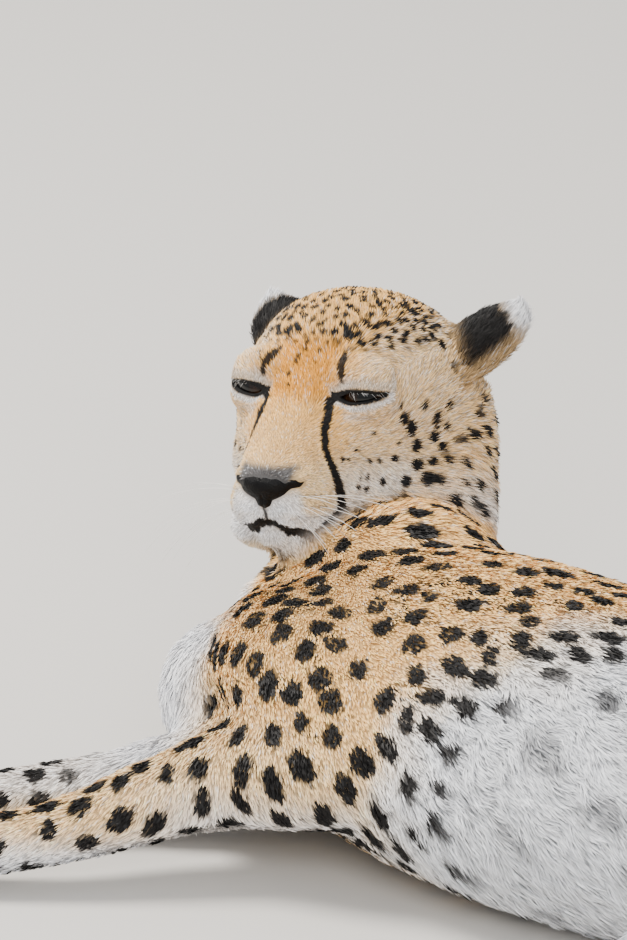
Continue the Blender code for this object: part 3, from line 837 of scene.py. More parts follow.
# The sky's blue-grey reflection, painted on the hair over the top of the nose.
SKY_REFLECTION_BLUE_GREY = paint(62, 73, 86)
HAIR_BLACK = paint(12, 10, 10)
SMOKE = paint(52, 52, 58)

head_mm = on_head(SKIN_POINTS) * 1000
share_of = by_part(SHARES)
head_share = share_of["head"]
# The edge of the white flank, as places along the trunk and across it, in metres.
WHITE_EDGE = np.array(
    [(-0.40, -0.080), (-0.22, -0.060), (-0.06, -0.080), (0.02, -0.115), (0.10, -0.145), (0.16, -0.165),
     (0.1985, -0.160), (0.214, -0.138), (0.229, -0.114), (0.243, -0.092), (0.272, -0.071), (0.290, -0.055),
     (0.330, -0.045), (0.60, -0.040)]
)
CREAM_BAND = 0.048
# The edge of the white chest: height above the floor, and how far forward it begins.
CHEST_EDGE = np.array(
    [(0.0, 0.430), (0.040, 0.448), (0.068, 0.462), (0.080, 0.472), (0.098, 0.474), (0.123, 0.460), (0.135, 0.474),
     (0.150, 0.505), (0.20, 0.56)]
)


# %% Masks over the body
WAVE_COUNT = 6


def lay(ground, *layers):
    """Colours laid over a ground one by one, each as far as its mask says."""
    for colour, mask in layers:
        ground = ground + (colour - ground) * np.clip(mask, 0, 1)[:, None]
    return ground


def waves(points, size, seed):
    """A smooth wandering number from about -1 to 1 that changes over this many metres."""
    count = WAVE_COUNT
    picker = np.random.default_rng(seed)
    ways = unit(picker.normal(size=(count, 3))) * (2 * math.pi / size) * picker.uniform(0.6, 1.5, (count, 1))
    starts = picker.uniform(0, 2 * math.pi, count)
    return np.sin(points @ ways.T + starts).sum(axis=1) / math.sqrt(count) * 0.85


def chest_mask(points):
    forward = points[:, 0] - np.interp(points[:, 2], CHEST_EDGE[:, 0], CHEST_EDGE[:, 1])
    forward = forward + 0.004 * waves(points, 0.02, 4)
    forward -= 0.05 * smoothstep(-0.14, -0.165, points[:, 1]) * smoothstep(0.100, 0.120, points[:, 2])
    return smoothstep(-0.004, 0.009, forward) * smoothstep(-0.235, -0.195, points[:, 1])


def past_white_edge(points):
    """How far each point lies on the belly's side of the white edge, in metres, wandering a little."""
    edge = np.interp(points[:, 0], WHITE_EDGE[:, 0], WHITE_EDGE[:, 1])
    return points[:, 1] - edge + 0.009 * waves(points, 0.05, 3)


def deep_belly(points):
    """0 up to the white edge of the flank, 1 well inside the belly."""
    return smoothstep(0.030, 0.085, past_white_edge(points))


def whiteness():
    """How white the underside is at each point of the skin, away from the head."""
    x, y, z = SKIN_POINTS.T
    up = SKIN_NORMALS[:, 2]
    chest = chest_mask(SKIN_POINTS)
    behind_arm = smoothstep(0.322, 0.300, x)
    under = smoothstep(-0.95, -0.4, up + 1.2 * (SKIN_NORMALS[:, 1] > -0.2))
    trunk = smoothstep(-0.012, 0.016, past_white_edge(SKIN_POINTS)) * under * behind_arm
    arm_below = 0.8 * smoothstep(0.078, 0.040, z) * (1 - behind_arm) * smoothstep(-0.11, -0.06, y)
    knee = smoothstep(0.040, 0.005, x) * smoothstep(-0.045, -0.010, y) * smoothstep(0.05, 0.09, z)
    trunk = trunk * (1 - knee * smoothstep(-0.1, 0.3, up))
    white = share_of["trunk"] * np.maximum(np.maximum(trunk, arm_below), chest)
    white = white + share_of["upper_arm_left"] * np.maximum(chest, arm_below)
    white = white + share_of["forearm_left"] * smoothstep(0.046, 0.022, z)
    for name in ("thigh_left", "shank_left", "hindpaw_left", "forepaw_left"):
        white = white + share_of[name] * smoothstep(0.10, -0.55, up)
    for name in ("forearm_right", "shank_right", "hindpaw_right", "forepaw_right"):
        white = white + share_of[name] * 0.75 * smoothstep(-0.1, 0.75, up)
    white = white + share_of["tail"] * 0.8 * smoothstep(-0.2, -0.9, up)
    x, _, z = head_mm.T
    throat = smoothstep(-40, -86, z) * smoothstep(-90, -20, x)
    # Painted shade: the throat just under the chin is kept less white.
    throat = throat * (1 - 0.8 * smoothstep(-88, -96, z) * smoothstep(0, 20, x))
    white = np.maximum(white, share_of["neck"] * throat)
    return SKIN_NET.spread(np.clip(white, 0, 1), 4)[:, 0]


def creaminess():
    """The pale band between the tawny flank and the white."""
    behind_arm = smoothstep(0.35, 0.30, SKIN_POINTS[:, 0])
    band = smoothstep(-CREAM_BAND, -0.004, past_white_edge(SKIN_POINTS)) * behind_arm * share_of["trunk"]
    limbs = 0.45 * share_of["forearm_left"] + 0.6 * share_of["forearm_right"] + 0.4 * share_of["shank_left"]
    arm = 0.55 * smoothstep(0.125, 0.075, SKIN_POINTS[:, 2]) * (share_of["upper_arm_left"] + share_of["trunk"])
    return np.clip(np.maximum(band, limbs + arm * smoothstep(0.28, 0.32, SKIN_POINTS[:, 0])), 0, 1)


WHITE_MASK = whiteness()
print("mean whiteness:", round(float(WHITE_MASK.mean()), 2))

# %% Ground colours
# Pale strokes under and over each eye: start and end on the head in mm, reach in mm, and strength.
PALE_STROKES = (((26, 28, -11), (8, 49, -7), 5.5, 0.35), ((27, 24, 9), (2, 51, 9), 6.5, 0.4))
EAR_LENGTH = 54
EARS = {  # root, the way it points and the way its dark back faces, on the head in mm
    "ear_left": ((-64, 54, 18), (-0.38, 0.78, 0.48), (0.65, -0.16, 0.73)),
    "ear_right": ((-66, -44, 22), (-0.72, -0.66, 0.20), (0.40, -0.05, 0.91)),
}


def ear_axes(name):
    """An ear's root, the way it points and the way its back faces."""
    root, *ways = EARS[name]
    return root, *unit(np.array(ways))


def face_colour():
    """The head's colours, laid over tawny."""
    x, y, z = head_mm.T
    y = np.abs(y)
    low_lip = z + 0.50 * np.maximum(y - 8, 0)
    layers = [
        (GREY_BUFF, smoothstep(24, 40, y) * smoothstep(42, 26, z)),
        (BROW_ORANGE, smoothstep(26, 12, y) * smoothstep(-6, 4, z) * smoothstep(36, 24, z)),
        (GREY_BUFF, 0.4 * smoothstep(28, 50, x) * smoothstep(-4, -20, z)),
        (FACE_CREAM, smoothstep(-22, -44, z) * smoothstep(16, 28, x + 0.3 * y)),
        (FACE_CREAM, 0.8 * smoothstep(-30, -56, z) * smoothstep(-50, -10, x)),
        (WHITE, 0.5 * smoothstep(-30, -50, z) * smoothstep(-20, 4, x) * smoothstep(52, 34, x)),
        (WHITE, smoothstep(-47, -57, low_lip) * smoothstep(30, 46, x)),
        (WHITE, 0.8 * smoothstep(-42, -50, z) * smoothstep(71, 76, x)),
        (WHITE, 0.85 * smoothstep(-56, -76, z) * smoothstep(-60, 0, x)),
    ]
    for start, end, reach, amount in PALE_STROKES:
        gap, _ = distance_to_line(np.stack([x, y, z], axis=1), [start, end])
        layers.append((WHITE, amount * smoothstep(reach, reach * 0.3, gap)))
    for side in (1, -1):
        gap, local = almond_gap(SKIN_POINTS, side)
        near = norms(local) < 0.030
        pale = smoothstep(0.0014, 0.0022, gap) * smoothstep(0.0056, 0.0040, gap) * (local[:, 2] < 0.001)
        over = smoothstep(0.0016, 0.0030, gap) * smoothstep(0.0085, 0.0050, gap) * (local[:, 2] > 0)
        layers += [(WHITE, 0.8 * pale * near), (PALE_GREY, 0.65 * over * near)]
    # Painted reflection: a blue-grey band on the hair over the top of the nose stands for the sky reflected there.
    painted_sky_reflection = smoothstep(-44, -41, z) * smoothstep(-29.5, -34.5, z) * smoothstep(20, 14, y) * smoothstep(62, 69, x)
    layers += [
        # Painted shade: the chin just below the lower lip is laid pale grey.
        (PALE_GREY, 0.6 * smoothstep(-74, -79, z + 0.15 * y) * smoothstep(30, 50, x)),
        # Painted shade: the underside of the chin is laid cream, not white, as if in the chin's own shadow.
        (CREAM, 0.8 * smoothstep(-86, -92, z) * smoothstep(0, 20, x)),
        # painted sky reflection over the nose
        (SKY_REFLECTION_BLUE_GREY, 0.92 * painted_sky_reflection),
    ]
    return lay(np.tile(FACE_TAWNY, (len(head_mm), 1)), *layers)


def ground_colour():
    """The colour of the whole coat before any mark."""
    count = len(head_mm)
    belly = smoothstep(0.36, 0.30, SKIN_POINTS[:, 0]) * share_of["trunk"]
    ground = lay(
        np.tile(TAWNY, (count, 1)),
        (GOLD, smoothstep(-0.2, -0.32, SKIN_POINTS[:, 1]) * (1 - head_share)),
        (GREY_BUFF, 0.75 * share_of["neck"]),
        (CREAM, creaminess()),
        (WHITE, WHITE_MASK * (1 - head_share)),
        # Painted shade: the white of the belly is laid greyer.
        (BELLY_WHITE_IN_PAINTED_SHADE, WHITE_MASK * belly),
        (WHITE, share_of["tail_tip"]),
        (face_colour(), head_share),
    )
    for name in EARS:
        root, up, back = ear_axes(name)
        along = (head_mm - root) @ up / EAR_LENGTH
        low = (head_mm - root) @ np.cross(up, back)
        ear = lay(np.tile(GREY_BUFF * 0.55, (count, 1)), (WHITE, smoothstep(0.62, 0.82, along)),
                  (GREY_BUFF * 0.45, 0.75 * smoothstep(10, 18, low)))
        ground = lay(ground, (ear, share_of[name]))
    return ground


GROUND = ground_colour()
print("mean ground colour:", np.round(GROUND.mean(axis=0), 2))

# %% [markdown]
# ## Spots
#
# A cheetah's spots are solid and round, close but never touching, about as far apart as they are across. They are
# placed one by one on the skin, each kept clear of those before it, with a size that changes over the body: a
# thumb's width on the shoulder, a few millimetres on the crown. A plain repeating texture would show its grid.

# %% Places on the skin's triangles


class Roots:
    """Places on the skin: the triangle that each lies in, and the shares of its three corners."""

    def __init__(self, face, share):
        self.face, self.share = face, share

    def __len__(self):
        return len(self.face)

    def pick(self, chosen):
        return Roots(self.face[chosen], self.share[chosen])

    def read(self, rows):
        """A number or a vector of the skin's points, at each place."""
        rows = rows.reshape(len(SKIN_POINTS), -1)
        return (rows[SKIN_FACES[self.face]] * self.share[:, :, None]).sum(axis=1)


def on_triangles(amounts, count):
    """Places spread evenly by amount over the skin's triangles."""
    total = np.cumsum(amounts)
    wanted = (np.arange(count) + chance.uniform(size=count)) / count * total[-1]
    face = np.minimum(np.searchsorted(total, wanted), len(amounts) - 1)
    a, b = np.sqrt(chance.uniform(size=count)), chance.uniform(size=count)
    return Roots(face, np.stack([1 - a, a * (1 - b), a * b], axis=1))


# %% Place the spots
SPOT_TRIES, MOST_SPOTS = 26000, 6000
corners = SKIN_POINTS[SKIN_FACES]
FACE_AREA = 0.5 * norms(np.cross(corners[:, 1] - corners[:, 0], corners[:, 2] - corners[:, 0]))
belly_depth = deep_belly(SKIN_POINTS)
half_size = from_coat(SHARES, SPOT) / 1000 * (1 + 0.45 * WHITE_MASK * belly_depth * share_of["trunk"])
sparse = belly_depth * share_of["trunk"] + share_of["thigh_left"]
apart = from_coat(SHARES, APART) / 1000 * (1 + 1.25 * WHITE_MASK * sparse)


def place_spots():
    tries = on_triangles(FACE_AREA / apart[SKIN_FACES].mean(axis=1) ** 2, SPOT_TRIES)
    tries = tries.pick(chance.permutation(len(tries)))
    places = tries.read(SKIN_POINTS)
    gaps = tries.read(apart)[:, 0] * chance.uniform(0.92, 1.10, len(tries))
    kept, kept_gap = np.empty((MOST_SPOTS, 3)), np.empty(MOST_SPOTS)
    chosen = []
    for i, (place, gap) in enumerate(zip(places, gaps)):
        count = len(chosen)
        if count == MOST_SPOTS:
            break
        if (norms(kept[:count] - place) < 0.5 * (kept_gap[:count] + gap)).any():
            continue
        kept[count], kept_gap[count] = place, gap
        chosen.append(i)
    roots, count = tries.pick(chosen), len(chosen)
    lie, normal = unit(roots.read(LIE)), unit(roots.read(SKIN_NORMALS))
    size = roots.read(half_size)[:, 0] * chance.uniform(0.84, 1.15, count)
    flank = roots.read(np.maximum(creaminess(), WHITE_MASK) * share_of["trunk"])[:, 0]
    stretch = chance.uniform(1.0, 1.35, count) * (1 + 0.50 * flank)
    size = size * (1 - 0.20 * flank)
    turn = chance.normal(0, 0.35, count)[:, None]
    lie = lie * np.cos(turn) + np.cross(normal, lie) * np.sin(turn)
    across = np.cross(normal, lie)
    return {
        "place": places[chosen], "lie": lie / (size * stretch)[:, None], "across": across / (size * 0.92)[:, None],
        "size": size,
    }


SPOTS = place_spots()
spot_tree = KDTree(len(SPOTS["size"]))
for number, place in enumerate(SPOTS["place"]):
    spot_tree.insert(place, number)
spot_tree.balance()
print("spots:", len(SPOTS["size"]))

# %% [markdown]
# ## Marks of the face, the ears and the tail
#
# The face has marks of its own. The tear line runs from the inner corner of each eye down beside the muzzle to the
# corner of the mouth. Short streaks stand over the eyes, rows of dots run behind them, and the crown is thick with
# small dots. The backs of the ears are black with pale tips, and the tail ends in rings and a pale tuft. Lines and
# dots are given in millimetres on the head.

# %% Face marks
TEAR_LINE = [
    (26.9, 22, 2), (29, 21.2, 0.2), (31.1, 21, -2), (33.5, 22.2, -6), (37, 22.7, -10), (42.6, 23.2, -17.4),
    (46, 25.4, -25), (46, 28.5, -33), (43, 31, -41.5), (40, 32, -51), (36.5, 32, -60), (35.5, 29.5, -67.5),
    (38, 26.5, -72),
]
TEAR_HALF = [2.8, 2.8, 2.8, 2.8, 2.8, 3.0, 3.3, 3.7, 3.9, 4.0, 4.2]
OVER_EYE = [(24.6, 25.5, 11), (22.8, 25.5, 16.5), (15.2, 23.5, 22), (7.8, 20.9, 27)]
OVER_EYE_HALF = [1.2, 2.6, 3.0, 2.7, 0.9]
# This line is partly the start of the tear mark and partly painted shade in the hollow of the eye's inner corner.
BETWEEN = [(25, 25, 11), (28, 23, 5), (30, 21, -1)]  # a faint line from the streak to the corner of the eye
LIP_LINE = [
    (77, 0, -69.5), (74, 4, -71.5), (71, 10, -74.5), (66, 18, -76), (56, 26, -75.5), (45, 29, -74), (38, 28, -71),
]
LIP_STRETCH = np.array([0.35, 1, 1])  # the lip's line reaches further along the head than across it
PAD_ROWS = [
    [(74, 18, -49), (68, 23, -50), (61, 26.5, -51), (54, 29, -52)],
    [(75, 19, -54), (69, 24, -56), (62, 28, -57), (55, 30, -59)],
    [(73, 19, -60), (67, 24, -62), (60, 28, -63), (53, 30, -65)],
    [(66, 22, -67), (59, 27, -68)],
]
# (x, y, z, half its width): the left side, then what the right side alone has
LEFT_DOTS = [
    (-3, 52, -6, 1.3), (-4, 55, -14, 1.8), (-8, 58, -21, 2.4), (-12, 60, -32, 2.2), (-8, 63, -42, 2.2),
    (3, 60, -50, 2.1), (-21, 62, -9, 1.6), (-30, 66, -17, 1.6), (-29, 66, -22, 1.5), (-26, 66, -29, 1.8),
    (-27, 71, -34, 1.9), (-37, 68, -25, 1.4), (-43, 68, -13, 1.4), (-16, 70, -40, 1.9), (-24, 76, -41, 1.6),
    (-6, 70, -49, 2.5), (-24, 93, -66, 2.0), (-28, 96, -71, 1.8), (-24, 87, -55, 1.3), (6, 53, -37, 1.1),
    (14, 47, -38, 0.8), (18, 43, -37, 0.6), (19, 42, -47, 0.7), (19, 41, -54, 0.8), (12, 48, -51, 1.0),
    (24, 39, -47, 0.5), (25, 38, -52, 0.5), (1, 54, -28, 0.5), (32, 35, -34, 0.5), (36, 33, -33, 0.5),
    (27, 37, -29, 0.5), (15, 43, -21, 0.4), (-2, 20, 34, 2.1), (-5, 17, 37, 1.3), (-63, 49, 31, 1.5),
    (-54, 33, 43, 1.6), (-55, 38, 40, 1.9), (-48, 43, 36, 1.5), (-36, 36, 39, 1.2), (-55, 57, 21, 1.3),
    (-50, 52, 28, 1.1), (-68, 56, 23, 1.1), (-15, 25, 39, 1.3), (-26, 24, 43, 1.0), (-22, 31, 38, 0.9),
    (-28, 36, 38, 0.8), (14, 22, 23, 0.7), (-3, 26, 31, 0.7), (-58, 73, 4, 3.2), (-54, 68, 10, 2.0),
]
BROW_DOTS = [
    (17, -7, 20, 1.0), (15, -6, 23, 1.0), (12, -3, 27, 1.0), (8, -3, 31, 1.1), (2, -2, 35, 1.0),
    (23, -9, 14, 0.8), (29, -7, 8, 0.7), (7, -11, 30, 0.9), (17, 7, 20, 0.7), (12, 6, 27, 0.8),
    (7, 9, 31, 0.8), (-14, -36, 31, 2.0), (15, -31, 23, 0.8), (20, -29, 20, 0.8), (-7, 2, 41, 1.2),
    (-9, -7, 42, 1.2), (-3, -14, 37, 1.0),
]

# %% Lay the lines on the skin
skin_tree = BVHTree.FromPolygons(SKIN_POINTS.tolist(), SKIN_FACES.tolist())
LINE_STEPS = 4  # new places for each one given


def laid_on_skin(rows):
    """Places on the head, in mm, moved to the nearest place on the skin. Any further numbers stay."""
    rows = np.asarray(rows, float)
    found = [skin_tree.find_nearest(point)[0] for point in in_world(rows[:, :3] / 1000)]
    return np.concatenate([on_head(np.array(found)) * 1000, rows[:, 3:]], axis=1)


def smooth_line(rows):
    """A line through the same places with more of them, laid on the skin."""
    rows = np.asarray(rows, float)
    at = np.linspace(0, len(rows) - 1, (len(rows) - 1) * LINE_STEPS + 1)
    dense = np.stack([np.interp(at, np.arange(len(rows)), rows[:, k]) for k in range(3)], axis=1)
    for _ in range(2):
        dense[1:-1] = 0.5 * dense[1:-1] + 0.25 * (dense[:-2] + dense[2:])
    return laid_on_skin(dense)


def width_at(along, widths):
    """Half a line's width, read evenly from a list that runs from its start to its end."""
    return np.interp(along, np.linspace(0, 1, len(widths)), widths)


def edged(gap, half, soft=0.45):
    """1 inside a mark, 0 outside, over a soft edge."""
    return smoothstep(half + soft, half - soft, gap)


LAID = {
    "tear": smooth_line(TEAR_LINE), "brow": smooth_line(OVER_EYE), "lip": smooth_line(LIP_LINE),
    "left dots": laid_on_skin(LEFT_DOTS), "brow dots": laid_on_skin(BROW_DOTS),
}
PAD_LINES = [smooth_line(row) for row in PAD_ROWS[:3]]
print("dots on the face:", sum(len(LAID[name]) for name in ("left dots", "brow dots")))

# %% Draw the face marks


def face_marks(place, wobble):
    """The blackness of the drawn marks at points on the head, in mm."""
    black = np.zeros(len(place))

    def mark(gap, half, rough=0.6, depth=1.0, soft=0.45):
        np.maximum(black, depth * edged(gap + rough * wobble, half, soft), out=black)

    for side in (1, -1):
        there = place * (1, side, 1)
        gap, along = distance_to_line(there, LAID["tear"])
        mark(gap, width_at(along, TEAR_HALF), 0.35)
        gap, along = distance_to_line(there, LAID["brow"])
        mark(gap, width_at(along, OVER_EYE_HALF), depth=0.97, soft=0.55)
        # partly a real mark, partly painted shade in the inner corner of the eye
        mark(distance_to_line(there, BETWEEN)[0], 1.9, depth=0.5, soft=1.4)
        for row in PAD_LINES:
            mark(distance_to_line(there, row)[0], 0.5, 0.5, 0.45)
        gap, along = distance_to_line(there * LIP_STRETCH, LAID["lip"] * LIP_STRETCH)
        mark(gap, 2.8 + 1.8 * along)
        for *dot, half in LAID["left dots"]:
            mark(norms((there - dot) * (0.85, 1, 0.85)), 0.7 + 1.45 * half, 0.4)
    x, y, z = place.T
    groove = edged(np.abs(y + 0.3), 1.1) * smoothstep(-71, -69, z)
    groove = groove * smoothstep(-50, -52, z) * smoothstep(64, 68, x)
    np.maximum(black, 0.95 * groove, out=black)
    for *dot, half in LAID["brow dots"]:
        mark(norms((place - dot) * (0.75, 1, 0.9)), 0.3 + 1.25 * half, 0.5, 0.9)
    return black


# %% Ears and tail
TAIL_END = float(WALKED[share_of["tail"] + share_of["tail_tip"] > 0.9].max())
# How near and how far from the tail's end each ring lies, in metres, and how black it is.
TAIL_RINGS = [(0.036, 0.070, 1.0), (0.088, 0.112, 1.0), (0.130, 0.150, 0.95), (0.168, 0.184, 0.85),
              (0.203, 0.215, 0.7)]
RING_EDGE = 0.004


def ear_marks(place, normal, name):
    root, up, back = ear_axes(name)
    along = (place - root) @ up / EAR_LENGTH + 0.05 * waves(place, 5.0, 24)
    return smoothstep(0.02, 0.09, along) * smoothstep(0.82, 0.74, along) * smoothstep(-0.35, -0.05, normal @ back)


def tail_rings(walked):
    from_end = TAIL_END - walked
    black = np.zeros(len(walked))
    for near, far, depth in TAIL_RINGS:
        inside = smoothstep(near - RING_EDGE, near + RING_EDGE, from_end)
        inside = inside * smoothstep(far + RING_EDGE, far - RING_EDGE, from_end)
        black = np.maximum(black, depth * inside)
    return black


print("tail ends", round(TAIL_END, 3), "m from the nose")

# %% All marks together


def spot_marks(points, blur):
    """The blackness of the placed spots, with a softer edge where they blur into long hair."""
    nearest = np.array([spot_tree.find(point)[1] for point in points])
    away = points - SPOTS["place"][nearest]
    u = (away * SPOTS["lie"][nearest]).sum(axis=1)
    w = (away * SPOTS["across"][nearest]).sum(axis=1)
    size = SPOTS["size"][nearest]
    reach = np.sqrt(u * u + w * w) + 0.11 * waves(points, 0.009, 21) + 0.10 * waves(points, 0.0035, 22)
    soft = np.clip(0.0006 / size, 0.05, 0.30) + 0.50 * blur
    return smoothstep(1 + soft, 1 - soft, reach)


def blackness(points, normals, shares, walked, white):
    """How black the coat is at any place on the skin, and whether it is a faint mark on white."""
    place = on_head(points) * 1000
    share = by_part(shares)
    deep = deep_belly(points)
    spots = spot_marks(points, white * share["trunk"] * (0.3 + 0.7 * deep))
    x, y, z = place.T
    crown = smoothstep(25, 31, z + 0.12 * np.abs(y)) * smoothstep(10, 0, x)
    crown = np.maximum(crown, smoothstep(-46, -60, x) * smoothstep(-62, -50, z) * smoothstep(34, 14, y))
    wanted = 1 - share["head"] * (1 - crown) - share["ear_left"] - share["ear_right"]
    wanted = wanted * (1 - 0.15 * sum(share[paw] for paw in PAW_LIMBS))
    chest = chest_mask(points) * (share["trunk"] + share["neck"] + share["upper_arm_left"])
    under = white * (share["trunk"] * deep + share["thigh_left"]) * smoothstep(0.33, 0.30, points[:, 0])
    spots = spots * np.clip(wanted, 0, 1) * (1 - 0.45 * under) * (1 - chest)
    near_head = norms(place + (0, 0, 20)) < 135
    marks = np.zeros(len(points))
    marks[near_head] = face_marks(place[near_head], waves(points[near_head], 0.004, 23))
    marks *= np.clip(share["head"] + share["neck"], 0, 1)
    for name in EARS:
        marks = np.maximum(marks, share[name] * ear_marks(place, normals, name))
    ringed = share["tail"] + share["tail_tip"]
    spots = spots * (1 - ringed * smoothstep(TAIL_END - 0.24, TAIL_END - 0.21, walked))
    marks = np.maximum(marks, ringed * tail_rings(walked))
    for side in (1, -1):
        gap, local = almond_gap(points, side)
        inner = np.maximum(0, side * -local[:, 1] / SLIT_HALF_LENGTH)
        wide = 0.0014 * inner**2 + 0.0008 * (local[:, 2] > 0)
        marks = np.maximum(marks, smoothstep(0.0021, 0.0013, gap - wide) * (norms(local) < 0.03))
    return np.maximum(spots, marks), under


def with_marks(ground, black, under):
    ink = HAIR_BLACK + (SMOKE - HAIR_BLACK) * (0.7 * under)[:, None]
    return ground + (ink - ground) * black[:, None]


skin_black, skin_under = blackness(SKIN_POINTS, SKIN_NORMALS, SHARES, WALKED, WHITE_MASK)
SKIN_COLOUR = with_marks(GROUND, skin_black, skin_under)
print("black share of the skin:", round(float(skin_black.mean()), 3))

# %% [markdown]
# ## An unwrap of the skin
#
# Each part of the skin is looked at along the six main directions, and the faces that look the same way form one
# flat chart. The charts are then set side by side on shelves. A bake of the finished colours can use this layout,
# and each tuft of hair takes the place of its root on it.

# %% Lay out the charts
UNWRAP = "OFBake"
CHART_MARGIN = 0.004


def shelf(sizes, scale):
    """Places for charts of these sizes on shelves one wide, tallest first, and the height they take."""
    places = np.zeros((len(sizes), 2))
    x = y = row = 0.0
    for number in np.argsort(-sizes[:, 1]):
        wide, high = sizes[number] * scale + CHART_MARGIN
        if x + wide > 1.0:
            x, y, row = 0.0, y + row, 0.0
        places[number] = x, y
        x, row = x + wide, max(row, high)
    return places, y + row


def unwrap():
    corners = SKIN_POINTS[SKIN_FACES]
    normal = np.cross(corners[:, 1] - corners[:, 0], corners[:, 2] - corners[:, 0])
    axis = np.abs(normal).argmax(axis=1)
    positive = normal[np.arange(len(normal)), axis] > 0
    part = SHARES[SKIN_FACES].sum(axis=1).argmax(axis=1)
    names, chart = np.unique((part * 3 + axis) * 2 + positive, return_inverse=True)
    flat_axes = np.array([(1, 2), (0, 2), (0, 1)])[axis]
    flat = np.take_along_axis(corners, np.repeat(flat_axes[:, None, :], 3, axis=1), axis=2)
    low = np.array([flat[chart == k].min(axis=(0, 1)) for k in range(len(names))])
    sizes = np.array([flat[chart == k].max(axis=(0, 1)) for k in range(len(names))]) - low
    scale = 1.0
    while shelf(sizes, scale)[1] > 1.0 or sizes[:, 0].max() * scale > 0.99:
        scale *= 0.985
    places, _ = shelf(sizes, scale)
    return (flat - low[chart][:, None]) * scale + places[chart][:, None] + CHART_MARGIN / 2, scale


CORNER_UV, uv_scale = unwrap()
print("one metre of skin takes", round(uv_scale, 3), "of the layout's side")

# %% [markdown]
# ## Skin and hair finishes
#
# Hair is neither chalk nor glass: it scatters light inside, with a soft shine along its length. The skin and every
# tuft read their colour from the mesh, and noise varies it from hair to hair. Under the tufts the skin carries fine
# bumps, which stand for hair too short to model.

# %% Coat finishes


def shade_colour(tree, shader, colour, shade, output):
    """A base colour made lighter and darker by a number."""
    product = add_node(tree, "ShaderNodeVectorMath", operation="SCALE")
    join(tree, colour, "Color", product, "Vector")
    join(tree, shade, output, product, "Scale")
    join(tree, product, "Vector", shader, "Base Color")


def coat_finish(name, roughness, grain_scale, bump_height):
    material, tree, shader = new_finish(name, roughness, 0.18)
    colour = add_node(tree, "ShaderNodeAttribute", attribute_name="coat")
    grain = own_grain(tree, "ShaderNodeTexNoise", Scale=grain_scale, Detail=3.0, Roughness=0.6)
    spread = add_node(tree, "ShaderNodeMapRange", **{"To Min": 0.86, "To Max": 1.14})
    join(tree, grain, "Fac", spread, "Value")
    shade_colour(tree, shader, colour, spread, "Result")
    shader.inputs["Sheen Weight"].default_value = 0.04
    shader.inputs["Sheen Roughness"].default_value = 0.5
    if bump_height:
        bumped(tree, shader, grain, "Fac", bump_height, 0.8)
    return material


SKIN_FINISH = coat_finish("skin and undercoat", 0.72, 900.0, 0.0006)
HAIR_FINISH = coat_finish("hair", 0.52, 260.0, 0.0)
print("finishes:", SKIN_FINISH.name, "and", HAIR_FINISH.name)

# %% Dress the skin
UNDERCOAT_SHADE = 0.55  # the skin lies in the shade of the hair


def give_colour(mesh, colours):
    """A colour for each point of a mesh, kept where the finish reads it."""
    layer = mesh.color_attributes.new("coat", "FLOAT_COLOR", "POINT")
    rows = np.ones((len(mesh.vertices), 4), np.float32)
    rows[:, :3] = colours
    layer.data.foreach_set("color", rows.ravel())


def give_layout(mesh, places):
    mesh.uv_layers.new(name=UNWRAP).data.foreach_set("uv", places.astype(np.float32).ravel())


def put_on(piece, slot, finish, *replaced):
    """Gives a piece its finish, fixes it to the body and hides the solids that it stands for. The slot is not used.
    """
    piece.data.materials.clear()
    piece.data.materials.append(finish)
    if replaced:
        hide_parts(*replaced)
    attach(piece, "root")


def dress_skin():
    mesh = skin.data
    give_colour(mesh, SKIN_COLOUR * UNDERCOAT_SHADE)
    places = np.zeros((len(mesh.loops), 2))
    places[triangles_of(mesh, "loops").ravel()] = CORNER_UV.reshape(-1, 2)
    give_layout(mesh, places)
    put_on(skin, "coat", SKIN_FINISH, *FLESH)


dress_skin()

# %% [markdown]
# ## Nose leather
#
# The nose is bare wet skin with fine pebbles. Each nostril is a comma that opens forward and runs out to the side.
# It is pressed into a finely remeshed copy of the solid, and a groove is drawn down the middle.

# %% Nose
NOSTRIL = [(78, 7.5, -47), (75, 12, -44), (71, 16.5, -41.5), (67, 19, -39)]
NOSE_GROOVE = [(84, 0, -38), (82, 0, -50), (79, 0, -60)]
WING_NOTCH = [(76, 11, -35), (79, 13.5, -38.5)]
NOSE_CELL, NOSE_ROUNDS = 0.0006, 8


